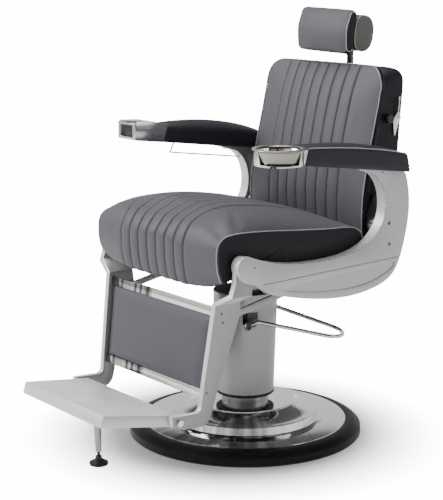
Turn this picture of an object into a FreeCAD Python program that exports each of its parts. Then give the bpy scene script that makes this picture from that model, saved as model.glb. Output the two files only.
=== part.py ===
import FreeCAD, Part
import math
import os

# Hydraulic barber chair, in millimetres.
# +Z is up, the sitter faces -Y, and the sitter's left is +X.
# The origin is on the floor at the middle of the round base.

Vec = FreeCAD.Vector

# Fits and clearances
GAP_RUN = 0.06        # radial clearance of a shaft that turns in a bore
GAP_SLIDE = 0.10      # radial clearance of a part that slides in a bore
GAP_SEAT = 0.30       # air between bodies that pass each other closely
GAP_SOFT = 0.30       # air between a soft part and what carries it
GAP_FIXED = 0.02      # radial location fit of parts fixed in one another

# Floor base
RING_R = 313.0
RING_HEIGHT = 36.5
RING_WIDTH = 55.0
RING_INNER_R = RING_R - RING_WIDTH
PLATE_FIT = 0.5
PLATE_R = RING_INNER_R - PLATE_FIT
PLATE_THICK = 10.0
PLATE_RIM = 12.0
RIB_COUNT = 8
RIB_THICK = 8.0
COVER_INSET = 41.0
COVER_R = RING_R - COVER_INSET
COVER_STEP_R = 202.0
COVER_STEP_TOP = 65.0
COVER_NECK_R = 133.0
COVER_NECK_Z = 85.0
COVER_WALL = 2.0
COLLAR_R = 133.5
COLLAR_THICK = 4.0

# Hydraulic cylinder and ram
CYLINDER_R = 62.5
CYLINDER_WALL = 8.0
CYLINDER_TOP = 296.0
PISTON_THICK = 30.0
PISTON_REST = 22.0
RAM_R = 25.0
GLAND_THICK = 24.0

# Lift column
COLUMN_BOTTOM = 116.0
COLUMN_BOTTOM_R = 77.8
COLUMN_TOP = 390.0
COLUMN_TOP_R = 86.5
COLUMN_WALL = 3.0
LIP_THICK = 8.0
LIP_R = 78.8
BUSH_LENGTH = 26.0
HEAD_Z = 352.0
HEAD_THICK = 12.0
HEAD_BOSS_R = 38.0
SPINDLE_R = 22.0
HUB_WALL = 16.0
HUB_BOTTOM = 392.0
HUB_TOP = 450.0

# Pump lever, in its own frame: d runs out along the lever, n across it
LEVER_ANGLE = 35.0
LEVER_OFFSET = 35.0
LEVER_SHAFT_Z = 312.0
LEVER_SHAFT_R = 8.0
LEVER_ROD_R = 5.5
LEVER_EYE_R = 11.0
LEVER_EYE_N = 91.5
LEVER_START_D = 62.0
LEVER_START_Z = 325.0
LEVER_START_N = 90.0
LEVER_BEND_D = 228.0
LEVER_BEND_N = 49.0
LEVER_SLOPE = 0.2
LEVER_CHEEK_THICK = 9.0
LEVER_CHEEK_N = 46.0
SLOT_WIDTH = 36.0
SLOT_BOTTOM = 301.0
SLOT_TOP = 345.0

# Side frames
FRAME_IN = 265.0
FRAME_OUT = 298.0
FRAME_SKIN = 8.0
BOSS_R = 27.0
LEG_PIVOT_Y = -235.0
LEG_PIVOT_Z = 528.0
LEG_PIN_R = 8.0
BACK_PIVOT_Y = 238.0
BACK_PIVOT_Z = 570.0
BACK_PIN_R = 10.0
PANEL_DEPTH = 2.2
GROOVE_WIDTH = 3.0
FRAME_SCREW_R = 5.0

# Under-seat carrier
TUBE_R = 12.0
FRONT_TUBE_Y = -100.0
FRONT_TUBE_Z = 477.5
REAR_TUBE_Y = 130.0
REAR_TUBE_Z = 438.0
TUBE_SOCKET_WALL = 7.0
CHEEK_IN = 60.0
CHEEK_THICK = 10.0
BOARD_Z = 490.0
BOARD_THICK = 11.5

# Seat cushion
SEAT_HALF = 257.0
SEAT_CORE_HALF = 253.0
SEAT_DEPTH = 30.0
CHANNELS = 8
SEAT_PITCH = 38.4
CHANNEL_RISE = 4.0
SEAT_CROWN_POWER = 3.0
BACK_CROWN_POWER = 2.0

# Backrest
BACK_HALF = 228.0
BACK_CORNER_R = 55.0
BACK_TOP = 980.0
BACK_BOTTOM = 560.0
BACK_RISE = 420.0      # height that the backrest's stations are given for
BACK_PITCH = 39.8
BACK_PAD_DEPTH = 24.0
BRACKET_THICK = 8.0
BRACKET_R = 24.0
CRANK_GAP = 0.25
CRANK_Y = 280.0
CRANK_Z = 492.0
CRANK_R = 14.0
CRANK_PIN_R = 5.5
SHELL_REAR_CORNER_R = 38.0
SHELL_FRONT_Y = 290.0
SHELL_REAR_Y = 345.0

# Back side controls
KNOB_Y = 285.0
KNOB_Z = 846.0
KNOB_R = 12.0
RELEASE_Y = 320.0
RELEASE_Z = 842.0
RELEASE_THICK = 4.0

# Headrest
POST_WIDTH = 18.0
POST_THICK = 10.0
POST_Y = 366.0
POST_LOW = 812.0
HEAD_PIVOT_Z = 1040.0
SOCKET_LOW = 800.0
SOCKET_HIGH = 948.0
SOCKET_WALL = 5.0
KNUCKLE_R = 12.0
KNUCKLE_PIN_R = 4.0
HEADREST_HALF = 97.0
HEADREST_LOW = 1003.0
HEADREST_HIGH = 1122.0
HEADREST_TURN = -8.0
ROLL_HALF = 95.0

# Arms
ARM_IN = 250.0
ARM_OUT = 330.0
ARM_MID = (ARM_IN + ARM_OUT) / 2
ARM_FRONT = -76.0
ARM_BACK = 276.0
ARM_BAR_IN = 276.0
ARM_BAR_OUT = 290.0
BOWL_Y = -131.0
BOWL_RIM_R = 64.5
BOWL_TOP_R = 54.0
BOWL_LOW_R = 46.5
BOWL_CORNER_R = 8.0
BOWL_RIM_Z = 805.0
BOWL_LOW_Z = 774.0
BOWL_WALL = 1.6
HOLDER_R = 60.5
HOLDER_LOW = 766.5
HOLDER_FLOOR = 4.5
WINDOW_TURN = -38.0
WINDOW_LOW_HALF = 46.0
WINDOW_TOP_HALF = 52.5
CATCH_TURN = -53.0
CAP_SEAM_LOW_Y = -90.0
CAP_SEAM_LOW_Z = 745.0
CAP_SEAM_HIGH_Y = -64.5
CAP_SEAM_HIGH_Z = 830.0
INSERT_LOW = 784.0
INSERT_HIGH = 816.0
RAIL_R = 2.2
RAIL_X = -281.0

# Legs and leg rest
LEG_THICK = 15.0
LEG_IN_LOW = 209.0
LEG_IN_LOW_Z = 150.0
LEG_IN_HIGH = 224.0
LEG_IN_HIGH_Z = 430.0
LEG_JOGGLE_Z = 456.0
LEG_UPPER_OUT = 289.0
LEG_EYE_IN = 268.0
LEG_EYE_R = 25.0
LINK_PIN_Y = -238.0
LINK_PIN_Z = 388.0
LINK_PIN_R = 6.0
LINK_THICK = 8.0
LINK_HALF_HEIGHT = 8.0
LINK_EYE_R = 15.0
LINK_FREE_R = 9.8
LINK_GAP = 1.0
PANEL_THICK = 16.0
PANEL_CROWN = 6.0
BAR_HEIGHT = 22.0
BAR_THICK = 6.0

# Footrest
FOOT_PIVOT_Y = -383.0
FOOT_PIVOT_Z = 150.0
FOOT_PIN_R = 6.0
FOOT_FRONT_Y = -574.0
FOOT_FRONT_Z = 195.0
FOOT_BACK_Y = -372.0
FOOT_SLOPE = 0.16
FOOT_FRONT_HALF = 181.0
FOOT_BACK_HALF = 204.0
FOOT_SKIRT = 28.0
FOOT_WALL = 5.0
FOOT_DRAFT = 9.0
STAY_FOOT_Y = -473.0
STAY_TOP_Y = -478.0
STAY_TOP_R = 11.0
STAY_LOW_R = 7.5
STAY_LOW_Z = 38.0
STAY_STEM_R = 4.0
STAY_PAD_R = 24.0
STAY_PAD_HEIGHT = 18.0
STAY_FLOOR_GAP = 1.5


def box(x0, x1, y0, y1, z0, z1):
    """A box between two corners."""
    return Part.makeBox(x1 - x0, y1 - y0, z1 - z0, Vec(x0, y0, z0))


def cylinder_z(r, x, y, z0, z1):
    """An upright cylinder."""
    return Part.makeCylinder(r, z1 - z0, Vec(x, y, z0), Vec(0, 0, 1))


def cylinder_x(r, y, z, x0, x1):
    """A cylinder along X."""
    return Part.makeCylinder(r, x1 - x0, Vec(x0, y, z), Vec(1, 0, 0))


def rod(r, start, end):
    """A round rod between two points."""
    run = end.sub(start)
    return Part.makeCylinder(r, run.Length, start, run)


def solid_of_wire(edges, depth):
    """A prism from a closed run of edges, moved along depth."""
    return Part.Face(Part.Wire(edges)).extrude(depth)


def polygon_yz(points, x0, x1):
    """A prism along X from (y, z) corners."""
    corners = [Vec(x0, y, z) for y, z in points]
    return Part.Face(Part.makePolygon(corners + corners[:1])).extrude(Vec(x1 - x0, 0, 0))


def polygon_xz(points, y0, y1):
    """A prism along Y from (x, z) corners."""
    corners = [Vec(x, y0, z) for x, z in points]
    return Part.Face(Part.makePolygon(corners + corners[:1])).extrude(Vec(0, y1 - y0, 0))


def arc(a, b, c):
    """An arc from a through b to c."""
    return Part.Arc(a, b, c).toShape()


def line(a, b):
    """A straight edge."""
    return Part.makeLine(a, b)


def smooth(points):
    """One smooth curve through the points."""
    curve = Part.BSplineCurve()
    curve.interpolate(points)
    return curve.toShape()


def revolved(edges):
    """A solid turned about the vertical axis from a closed profile in the XZ plane."""
    return Part.Face(Part.Wire(edges)).revolve(Vec(0, 0, 0), Vec(0, 0, 1), 360)


def turned(points):
    """A turned solid from (r, z) corners."""
    corners = [Vec(r, 0, z) for r, z in points]
    return revolved([line(a, b) for a, b in zip(corners, corners[1:] + corners[:1])])


def mirrored(shape):
    """The same piece on the other side of the chair."""
    return shape.mirror(Vec(0, 0, 0), Vec(1, 0, 0))


def both_sides(shape):
    """The piece and its mirror image, as separate solids."""
    return Part.makeCompound([shape, mirrored(shape)])


def single(shape):
    """The one solid of a boolean result."""
    return shape.removeSplitter().Solids[0]


def lofted(wires, ruled):
    """A closed solid through the section wires."""
    return Part.makeLoft(wires, True, ruled)


# Floor base

def floor_ring():
    """Rubber ring that the base stands on."""
    outer_low = Vec(RING_R, 0, 4)
    outer_high = Vec(RING_R - 1, 0, 22)
    shoulder = Vec(RING_R - 12, 0, 31)
    top_out = Vec(COVER_R + 1, 0, RING_HEIGHT)
    top_in = Vec(RING_INNER_R, 0, RING_HEIGHT)
    low_in = Vec(RING_INNER_R, 0, 0)
    low_out = Vec(RING_R - 4, 0, 0)
    edges = [line(low_in, low_out), line(low_out, outer_low), line(outer_low, outer_high)]
    edges += [arc(outer_high, shoulder, top_out), line(top_out, top_in), line(top_in, low_in)]
    return revolved(edges)


def base_plate():
    """Cast base with a rim, ribs and a seat for the cylinder."""
    high = PLATE_THICK
    rim_top = RING_HEIGHT - 2
    profile = [(0, 0), (PLATE_R, 0), (PLATE_R, rim_top), (PLATE_R - PLATE_RIM, rim_top)]
    profile += [(PLATE_R - PLATE_RIM, high), (0, high)]
    body = turned(profile)
    hub_r = CYLINDER_R + 14
    hub = turned([(CYLINDER_R, high), (hub_r, high), (hub_r, 60), (CYLINDER_R, 60)])
    body = body.fuse(hub)
    rib = polygon_xz([(hub_r - 2, high - 1), (PLATE_R - 4, high - 1), (PLATE_R - 4, 33), (200, 40), (hub_r - 2, 56)],
                     -RIB_THICK / 2, RIB_THICK / 2)
    for i in range(RIB_COUNT):
        turned_rib = rib.copy()
        turned_rib.rotate(Vec(0, 0, 0), Vec(0, 0, 1), i * 360 / RIB_COUNT)
        body = body.fuse(turned_rib)
    return single(body)


def base_cover():
    """Stepped bright cover over the base casting."""
    wall = COVER_WALL
    rest = RING_HEIGHT
    rim = Vec(COVER_R, 0, rest)
    rim_top = Vec(COVER_R - 0.5, 0, rest + 1.2)
    foot = Vec(COVER_STEP_R + 3, 0, 44.5)
    dish = Vec((COVER_R + COVER_STEP_R) / 2, 0, 42.2)
    band_low = Vec(COVER_STEP_R, 0, 46.5)
    band_high = Vec(COVER_STEP_R - 3, 0, COVER_STEP_TOP)
    shelf = Vec(COVER_STEP_R - 12, 0, COVER_STEP_TOP + 1)
    cone_mid = Vec((COVER_STEP_R - 12 + COVER_NECK_R) / 2 - 4, 0, COVER_STEP_TOP + 6.5)
    neck = Vec(COVER_NECK_R, 0, COVER_NECK_Z)
    top_in = Vec(CYLINDER_R + 1, 0, COVER_NECK_Z)
    edges = [line(rim, rim_top), arc(rim_top, dish, foot), line(foot, band_low), line(band_low, band_high)]
    edges += [line(band_high, shelf), arc(shelf, cone_mid, neck), line(neck, top_in)]
    under = [top_in - Vec(0, 0, wall), neck - Vec(2 * wall, 0, wall), shelf - Vec(wall, 0, wall)]
    under += [band_high - Vec(wall, 0, wall), band_low - Vec(wall, 0, wall), foot - Vec(0, 0, wall)]
    under += [Vec(RING_INNER_R + 4, 0, rest)]
    cone_under = cone_mid - Vec(wall, 0, wall)
    edges += [line(top_in, under[0]), line(under[0], under[1]), arc(under[1], cone_under, under[2])]
    edges += [line(a, b) for a, b in zip(under[2:], under[3:])]
    edges += [line(under[-1], rim)]
    return revolved(edges)


def collar_disc():
    """Thin bright disc where the cylinder leaves the cover."""
    hole = CYLINDER_R + 0.2
    low = COVER_NECK_Z
    high = low + COLLAR_THICK
    edge = COLLAR_R - 1
    return turned([(hole, low), (COLLAR_R, low), (COLLAR_R, high - 1), (edge, high), (hole, high)])


def pump_cylinder():
    """Fixed hydraulic cylinder that stands in the base casting."""
    low = PLATE_THICK
    inner = CYLINDER_R - CYLINDER_WALL
    outer = cylinder_z(CYLINDER_R - 0.05, 0, 0, low, CYLINDER_TOP)
    return outer.cut(cylinder_z(inner, 0, 0, low + 6, CYLINDER_TOP + 1))


def cylinder_gland():
    """Gland at the mouth of the cylinder that seals the ram."""
    inner = CYLINDER_R - CYLINDER_WALL
    low = CYLINDER_TOP - GLAND_THICK
    ring = cylinder_z(inner - 0.05, 0, 0, low, CYLINDER_TOP)
    return ring.cut(cylinder_z(RAM_R + GAP_SLIDE, 0, 0, low - 1, CYLINDER_TOP + 1))


# Lift column

def column_radius(z):
    """Outer radius of the tapered column cover at a height."""
    share = (z - COLUMN_BOTTOM) / (COLUMN_TOP - COLUMN_BOTTOM)
    return COLUMN_BOTTOM_R + share * (COLUMN_TOP_R - COLUMN_BOTTOM_R)


def lever_vec(d, n, z):
    """A point given along the lever, across it and in height."""
    turn = math.radians(LEVER_ANGLE)
    x = d * math.cos(turn) + n * math.sin(turn)
    y = d * math.sin(turn) - n * math.cos(turn)
    return Vec(x, y, z)


def slot_cutter(reach):
    """The upright slot with a round lower end, through both sides of the column."""
    radius = SLOT_WIDTH / 2
    across = lever_vec(0, 2 * reach, 0)
    low_mid = lever_vec(LEVER_OFFSET, -reach, SLOT_BOTTOM)
    left_low = lever_vec(LEVER_OFFSET - radius, -reach, SLOT_BOTTOM + radius)
    right_low = lever_vec(LEVER_OFFSET + radius, -reach, SLOT_BOTTOM + radius)
    left_high = lever_vec(LEVER_OFFSET - radius, -reach, SLOT_TOP)
    right_high = lever_vec(LEVER_OFFSET + radius, -reach, SLOT_TOP)
    edges = [arc(left_low, low_mid, right_low), line(right_low, right_high)]
    edges += [line(right_high, left_high), line(left_high, left_low)]
    return solid_of_wire(edges, across)


def column_cover():
    """Tapered outer cover that rises with the seat."""
    outer = Part.makeCone(COLUMN_BOTTOM_R, COLUMN_TOP_R, COLUMN_TOP - COLUMN_BOTTOM, Vec(0, 0, COLUMN_BOTTOM))
    low_r = COLUMN_BOTTOM_R - COLUMN_WALL
    high_r = COLUMN_TOP_R - COLUMN_WALL
    inner = Part.makeCone(low_r, high_r, COLUMN_TOP - COLUMN_BOTTOM, Vec(0, 0, COLUMN_BOTTOM))
    return outer.cut(inner).cut(slot_cutter(COLUMN_TOP_R + 10))


def column_lip():
    """Rubber lip under the column cover."""
    low = COLUMN_BOTTOM - LIP_THICK
    inner = CYLINDER_R + 0.6
    profile = [(inner, low), (LIP_R - 2, low), (LIP_R, low + 2), (LIP_R, COLUMN_BOTTOM - 1)]
    profile += [(COLUMN_BOTTOM_R - 0.3, COLUMN_BOTTOM), (inner, COLUMN_BOTTOM)]
    return turned(profile)


def guide_bush():
    """Plain bush that guides the column on the cylinder."""
    low = COLUMN_BOTTOM
    high = low + BUSH_LENGTH
    inner = CYLINDER_R + GAP_SLIDE
    outer_low = column_radius(low) - COLUMN_WALL - 0.05
    outer_high = column_radius(high) - COLUMN_WALL - 0.05
    return turned([(inner, low), (outer_low, low), (outer_high, high), (inner, high)])


def lift_ram():
    """Ram with its piston, which carries the column head."""
    piston_r = CYLINDER_R - CYLINDER_WALL - GAP_SLIDE
    piston = cylinder_z(piston_r, 0, 0, PISTON_REST, PISTON_REST + PISTON_THICK)
    groove_z = PISTON_REST + PISTON_THICK / 2
    groove = turned([(piston_r - 3, groove_z - 3), (piston_r + 1, groove_z - 3),
                     (piston_r + 1, groove_z + 3), (piston_r - 3, groove_z + 3)])
    return single(piston.cut(groove).fuse(cylinder_z(RAM_R, 0, 0, PISTON_REST, HEAD_Z)))


def lever_block(d0, d1, n0, n1, z0, z1):
    """A block set square to the pump lever."""
    corners = [lever_vec(d0, n0, z0), lever_vec(d1, n0, z0), lever_vec(d1, n1, z0), lever_vec(d0, n1, z0)]
    return Part.Face(Part.makePolygon(corners + corners[:1])).extrude(Vec(0, 0, z1 - z0))


def lever_axis_rod(r, n0, n1):
    """A round rod on the lever's turning axis."""
    return rod(r, lever_vec(LEVER_OFFSET, n0, LEVER_SHAFT_Z), lever_vec(LEVER_OFFSET, n1, LEVER_SHAFT_Z))


def column_head():
    """Head on the ram, with the thrust boss and two ears for the lever shaft."""
    low_r = column_radius(HEAD_Z) - COLUMN_WALL - 0.05
    high_r = column_radius(HEAD_Z + HEAD_THICK) - COLUMN_WALL - 0.05
    disc = turned([(0, HEAD_Z), (low_r, HEAD_Z), (high_r, HEAD_Z + HEAD_THICK), (0, HEAD_Z + HEAD_THICK)])
    boss = cylinder_z(HEAD_BOSS_R, 0, 0, HEAD_Z + HEAD_THICK - 1, HUB_BOTTOM - GAP_SEAT)
    head = disc.fuse(boss)
    ear_half = LEVER_SHAFT_R + 6
    n0 = LEVER_CHEEK_N
    n1 = n0 + LEVER_CHEEK_THICK
    for a, b in ((n0, n1), (-n1, -n0)):
        ear = lever_block(LEVER_OFFSET - ear_half, LEVER_OFFSET + ear_half, a, b, LEVER_SHAFT_Z, HEAD_Z + 1)
        ear = ear.fuse(lever_axis_rod(ear_half, a, b))
        head = head.fuse(ear)
    head = head.cut(lever_axis_rod(LEVER_SHAFT_R + GAP_RUN, -n1 - 1, n1 + 1))
    head = head.cut(cylinder_z(SPINDLE_R, 0, 0, HEAD_Z + HEAD_THICK / 2, HUB_BOTTOM + 1))
    return single(head)


def swivel_spindle():
    """Spindle pressed into the head, on which the seat turns."""
    shaft = cylinder_z(SPINDLE_R, 0, 0, HEAD_Z + HEAD_THICK / 2, HUB_TOP + 8)
    return shaft.makeChamfer(2, [shaft.Edges[0]])


# Pump lever

def lever_shaft():
    """Cross shaft of the pump lever."""
    return lever_axis_rod(LEVER_SHAFT_R, -LEVER_EYE_N, LEVER_EYE_N)


def lever_loop():
    """Bent rod that straddles the column, with an eye on each end of the shaft."""
    rise = LEVER_SLOPE
    lean = math.atan2(LEVER_START_N - LEVER_BEND_N, LEVER_BEND_D - LEVER_START_D)
    bend_r = LEVER_BEND_N / math.cos(lean)
    bend_mid = LEVER_BEND_D - bend_r * math.sin(lean)

    def on_slope(d, n):
        return lever_vec(d, n, LEVER_START_Z - rise * (d - LEVER_START_D))

    near = on_slope(LEVER_START_D, LEVER_START_N)
    near_end = on_slope(LEVER_BEND_D, LEVER_BEND_N)
    middle = on_slope(bend_mid, 0)
    far_end = on_slope(LEVER_BEND_D, -LEVER_BEND_N)
    far = on_slope(LEVER_START_D, -LEVER_START_N)
    axis = near_end.sub(middle).cross(far_end.sub(middle))
    half_turn = math.degrees(near_end.sub(middle).getAngle(on_slope(bend_mid + bend_r, 0).sub(middle)))
    section = Part.Face(Part.Wire(Part.makeCircle(LEVER_ROD_R, near_end, near_end.sub(near))))
    bend = section.revolve(middle, axis, 2 * half_turn)
    loop = rod(LEVER_ROD_R, near, near_end).fuse(bend).fuse(rod(LEVER_ROD_R, far_end, far))
    for side, corner in ((1, near), (-1, far)):
        eye_mid = lever_vec(LEVER_OFFSET, side * LEVER_EYE_N, LEVER_SHAFT_Z)
        eye_half = LEVER_ROD_R
        eye = lever_axis_rod(LEVER_EYE_R, side * LEVER_EYE_N - eye_half, side * LEVER_EYE_N + eye_half)
        neck = rod(LEVER_ROD_R, eye_mid, corner)
        knuckle = Part.makeSphere(LEVER_ROD_R, corner)
        loop = loop.fuse(eye).fuse(neck).fuse(knuckle)
    return single(loop.cut(lever_axis_rod(LEVER_SHAFT_R + GAP_FIXED, -LEVER_EYE_N - 9, LEVER_EYE_N + 9)))


# Side frames

def arm_bottom(y):
    """Height of the underside of the arm at a place along it."""
    return 763.0 - 0.13 * (y + 78.0)


def frame_outline(x):
    """Closed outline of the side frame in the plane at x."""

    def at(y, z):
        return Vec(x, y, z)

    pivot = (LEG_PIVOT_Y, LEG_PIVOT_Z)
    start_turn = math.radians(61)
    boss_start = at(pivot[0] + BOSS_R * math.cos(start_turn), pivot[1] + BOSS_R * math.sin(start_turn))
    mid_turn = math.radians(120)
    boss_mid = at(pivot[0] + BOSS_R * math.cos(mid_turn), pivot[1] + BOSS_R * math.sin(mid_turn))
    boss_end = at(pivot[0] - BOSS_R, pivot[1])
    chin_mid = at(-254, 503)
    chin = at(-231, 488)
    lower_corner = at(-191, 477)
    sweep_start = at(-155, 450)
    belly = [at(-90, 434), at(-25, 421), at(80, 410.5), at(185, 420), at(252, 449), at(290, 523), at(307, 640)]
    rear_top = at(295, 702)
    crown_mid = at(291, 710)
    crown_end = at(280, arm_bottom(280))
    tip = at(117, arm_bottom(117))
    throat = at(178, 720)
    inside = [at(213, 681), at(223, 640), at(215, 592), at(167, 542), at(78, 516)]
    inside += [at(-31, 513), at(-142, 527)]
    edges = [arc(boss_start, boss_mid, boss_end), arc(boss_end, chin_mid, chin), line(chin, lower_corner)]
    edges += [line(lower_corner, sweep_start), smooth([sweep_start] + belly + [rear_top])]
    edges += [arc(rear_top, crown_mid, crown_end), line(crown_end, tip)]
    edges += [line(tip, throat), smooth([throat] + inside + [boss_start])]
    return Part.Wire(edges)


def pocket_outline(x):
    """Outline of the hollow on the inner side of the frame, a wall's thickness inside its edges."""

    def at(y, z):
        return Vec(x, y, z)

    upper = [(-192, 532), (-142, 519), (-31, 505), (78, 508), (170.5, 534), (222.5, 588), (231, 640), (221, 685)]
    rear = [(264, 708), (285, 694), (298.5, 640), (281.5, 526), (246, 456), (182, 428), (80, 418.5)]
    rear += [(-24, 429), (-88, 442), (-150, 459)]
    points = [(221, 685), (214, 708), (264, 708)]
    edges = [smooth([at(y, z) for y, z in upper])]
    edges += [line(at(*p), at(*q)) for p, q in zip(points, points[1:])]
    edges += [smooth([at(y, z) for y, z in rear])]
    edges += [line(at(-150, 459), at(-188, 486)), line(at(-188, 486), at(-192, 532))]
    return Part.Wire(edges)


def panel_outline(x):
    """Outline of the shallow lower panel of the side frame."""

    def at(y, z):
        return Vec(x, y, z)

    edges = [smooth([at(-121, 459), at(-40, 467), at(94, 475), at(258, 480)]), line(at(258, 480), at(258, 470))]
    edges += [smooth([at(258, 470), at(195, 442), at(95, 431), at(-25, 439), at(-108, 453)])]
    edges += [line(at(-108, 453), at(-121, 459))]
    return Part.Wire(edges)


def arm_bar():
    """Bar of the side frame that runs forward inside the arm pad."""
    low = 8.0
    high = 24.0
    front = ARM_FRONT + 14
    back = 250.0
    points = [(front, arm_bottom(front) + low), (front, arm_bottom(front) + high)]
    points += [(back, arm_bottom(back) + high), (back, arm_bottom(back) - 8)]
    points += [(150, arm_bottom(150) - 8), (125, arm_bottom(125) + low)]
    return polygon_yz(points, ARM_BAR_IN, ARM_BAR_OUT)


def side_frame():
    """Cast side frame on the sitter's left: a C with bosses, a hollow back and a lower panel."""
    body = Part.Face(frame_outline(FRAME_IN)).extrude(Vec(FRAME_OUT - FRAME_IN, 0, 0))
    pocket = Part.Face(pocket_outline(FRAME_IN - 1)).extrude(Vec(FRAME_OUT - FRAME_SKIN - FRAME_IN + 1, 0, 0))
    body = body.cut(pocket)
    leg_room = box(FRAME_IN - 1, FRAME_OUT - FRAME_SKIN, LEG_PIVOT_Y - 60, LEG_PIVOT_Y + LEG_EYE_R + 5,
                   LEG_PIVOT_Z - 100, LEG_PIVOT_Z + 60)
    body = body.cut(leg_room)
    inner = FRAME_OUT - FRAME_SKIN
    for y, z in ((FRONT_TUBE_Y, FRONT_TUBE_Z), (REAR_TUBE_Y, REAR_TUBE_Z)):
        body = body.fuse(cylinder_x(TUBE_R + TUBE_SOCKET_WALL, y, z, FRAME_IN - 3, inner + 1))
        body = body.cut(cylinder_x(TUBE_R + GAP_FIXED, y, z, FRAME_IN - 4, inner - 3.9))
    boss_in = bracket_outer() + GAP_SEAT
    body = body.fuse(cylinder_x(BRACKET_R - 2, BACK_PIVOT_Y, BACK_PIVOT_Z, boss_in, inner + 1))
    body = body.cut(cylinder_x(BACK_PIN_R + GAP_RUN, BACK_PIVOT_Y, BACK_PIVOT_Z, boss_in - 1, inner - 6))
    body = body.fuse(arm_bar())
    body = body.cut(Part.Face(panel_outline(FRAME_OUT - PANEL_DEPTH)).extrude(Vec(PANEL_DEPTH + 1, 0, 0)))
    groove_high = GROOVE_WIDTH / 2
    groove = polygon_yz([(-186, 480 - groove_high), (268, 492.5 - groove_high),
                         (268, 492.5 + groove_high), (-186, 480 + groove_high)],
                        FRAME_OUT - PANEL_DEPTH, FRAME_OUT + 1)
    body = body.cut(groove)
    body = body.cut(cylinder_x(LEG_PIN_R + GAP_FIXED, LEG_PIVOT_Y, LEG_PIVOT_Z, FRAME_IN, FRAME_OUT - 1.9))
    return single(body)


def leg_pivot_pins():
    """Headed pins in the frames, on which the legs swing."""
    pin = cylinder_x(LEG_PIN_R, LEG_PIVOT_Y, LEG_PIVOT_Z, LEG_EYE_IN - 4, FRAME_OUT - 2)
    head = cylinder_x(LEG_PIN_R + 5, LEG_PIVOT_Y, LEG_PIVOT_Z, LEG_EYE_IN - 4, LEG_EYE_IN - GAP_SEAT)
    return both_sides(single(pin.fuse(head)))


def frame_screws():
    """Domed screw heads on the outside of the left frame."""
    screws = []
    for y, z in ((236, 584), (238, 529)):
        head = Part.makeSphere(FRAME_SCREW_R * 1.6, Vec(FRAME_OUT - FRAME_SCREW_R * 1.25, y, z))
        screws.append(head.common(box(FRAME_OUT, FRAME_OUT + 10, y - 10, y + 10, z - 10, z + 10)))
    return Part.makeCompound(screws)


# Under-seat carrier

def cross_tubes():
    """Two tubes that join the side frames under the seat."""
    reach = FRAME_OUT - FRAME_SKIN - 4
    tubes = []
    for y, z in ((FRONT_TUBE_Y, FRONT_TUBE_Z), (REAR_TUBE_Y, REAR_TUBE_Z)):
        outer = cylinder_x(TUBE_R, y, z, -reach, reach)
        tubes.append(outer.cut(cylinder_x(TUBE_R - 3, y, z, -reach - 1, reach + 1)))
    return Part.makeCompound(tubes)


def seat_carrier():
    """Casting with two cheeks on the tubes and the swivel hub between them."""
    top = BOARD_Z
    wrap = TUBE_R + 9
    front = FRONT_TUBE_Y - wrap
    rear = REAR_TUBE_Y + wrap
    outline = [(front, top), (rear, top), (rear, REAR_TUBE_Z - wrap), (REAR_TUBE_Y - wrap, REAR_TUBE_Z - wrap)]
    outline += [(45, HUB_BOTTOM + 12), (-45, HUB_BOTTOM + 12), (front, FRONT_TUBE_Z - wrap)]
    cheek = polygon_yz(outline, CHEEK_IN, CHEEK_IN + CHEEK_THICK)
    body = cheek.fuse(mirrored(cheek))
    web_low = HUB_BOTTOM + 30
    body = body.fuse(box(-CHEEK_IN - 1, CHEEK_IN + 1, -60, 100, web_low, web_low + 10))
    hub_r = SPINDLE_R + HUB_WALL
    body = body.fuse(cylinder_z(hub_r, 0, 0, HUB_BOTTOM, HUB_TOP))
    rib = box(-4, 4, hub_r - 2, 96, web_low - 14, web_low + 1)
    body = body.fuse(rib)
    body = body.cut(cylinder_z(SPINDLE_R + GAP_RUN, 0, 0, HUB_BOTTOM - 1, HUB_TOP + 1))
    for y, z in ((FRONT_TUBE_Y, FRONT_TUBE_Z), (REAR_TUBE_Y, REAR_TUBE_Z)):
        body = body.cut(cylinder_x(TUBE_R + GAP_FIXED, y, z, -FRAME_IN, FRAME_IN))
    return single(body)


def seat_board():
    """Board that carries the seat cushion."""
    half = 190.0
    board = box(-half, half, -232, 158, BOARD_Z, BOARD_Z + BOARD_THICK)
    corners = [e for e in board.Edges if abs(e.BoundBox.ZLength - BOARD_THICK) < 0.01]
    return board.makeFillet(30, corners)


# Cushions

def channel_places(half, pitch):
    """Places across a cushion of its edges and sewn channels, from one side to the other."""
    first = -pitch * (CHANNELS - 1) / 2
    return [-half] + [first + i * pitch for i in range(CHANNELS)] + [half]


def channelled_section(base, normal, half, crown, power, depth, pitch):
    """A closed section across a cushion: crowned and channelled in front, flat behind."""
    places = channel_places(half, pitch)

    def outer(x, rise):
        lift = crown * (1 - abs(x / half) ** power) + rise
        return Vec(x, base.y + normal.y * lift, base.z + normal.z * lift)

    edges = []
    for a, b in zip(places, places[1:]):
        edges.append(arc(outer(a, 0), outer((a + b) / 2, CHANNEL_RISE), outer(b, 0)))
    back_left = Vec(-half, base.y - normal.y * depth, base.z - normal.z * depth)
    back_right = Vec(half, base.y - normal.y * depth, base.z - normal.z * depth)
    edges += [line(outer(half, 0), back_right), line(back_right, back_left), line(back_left, outer(-half, 0))]
    return Part.Wire(edges)


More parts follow.
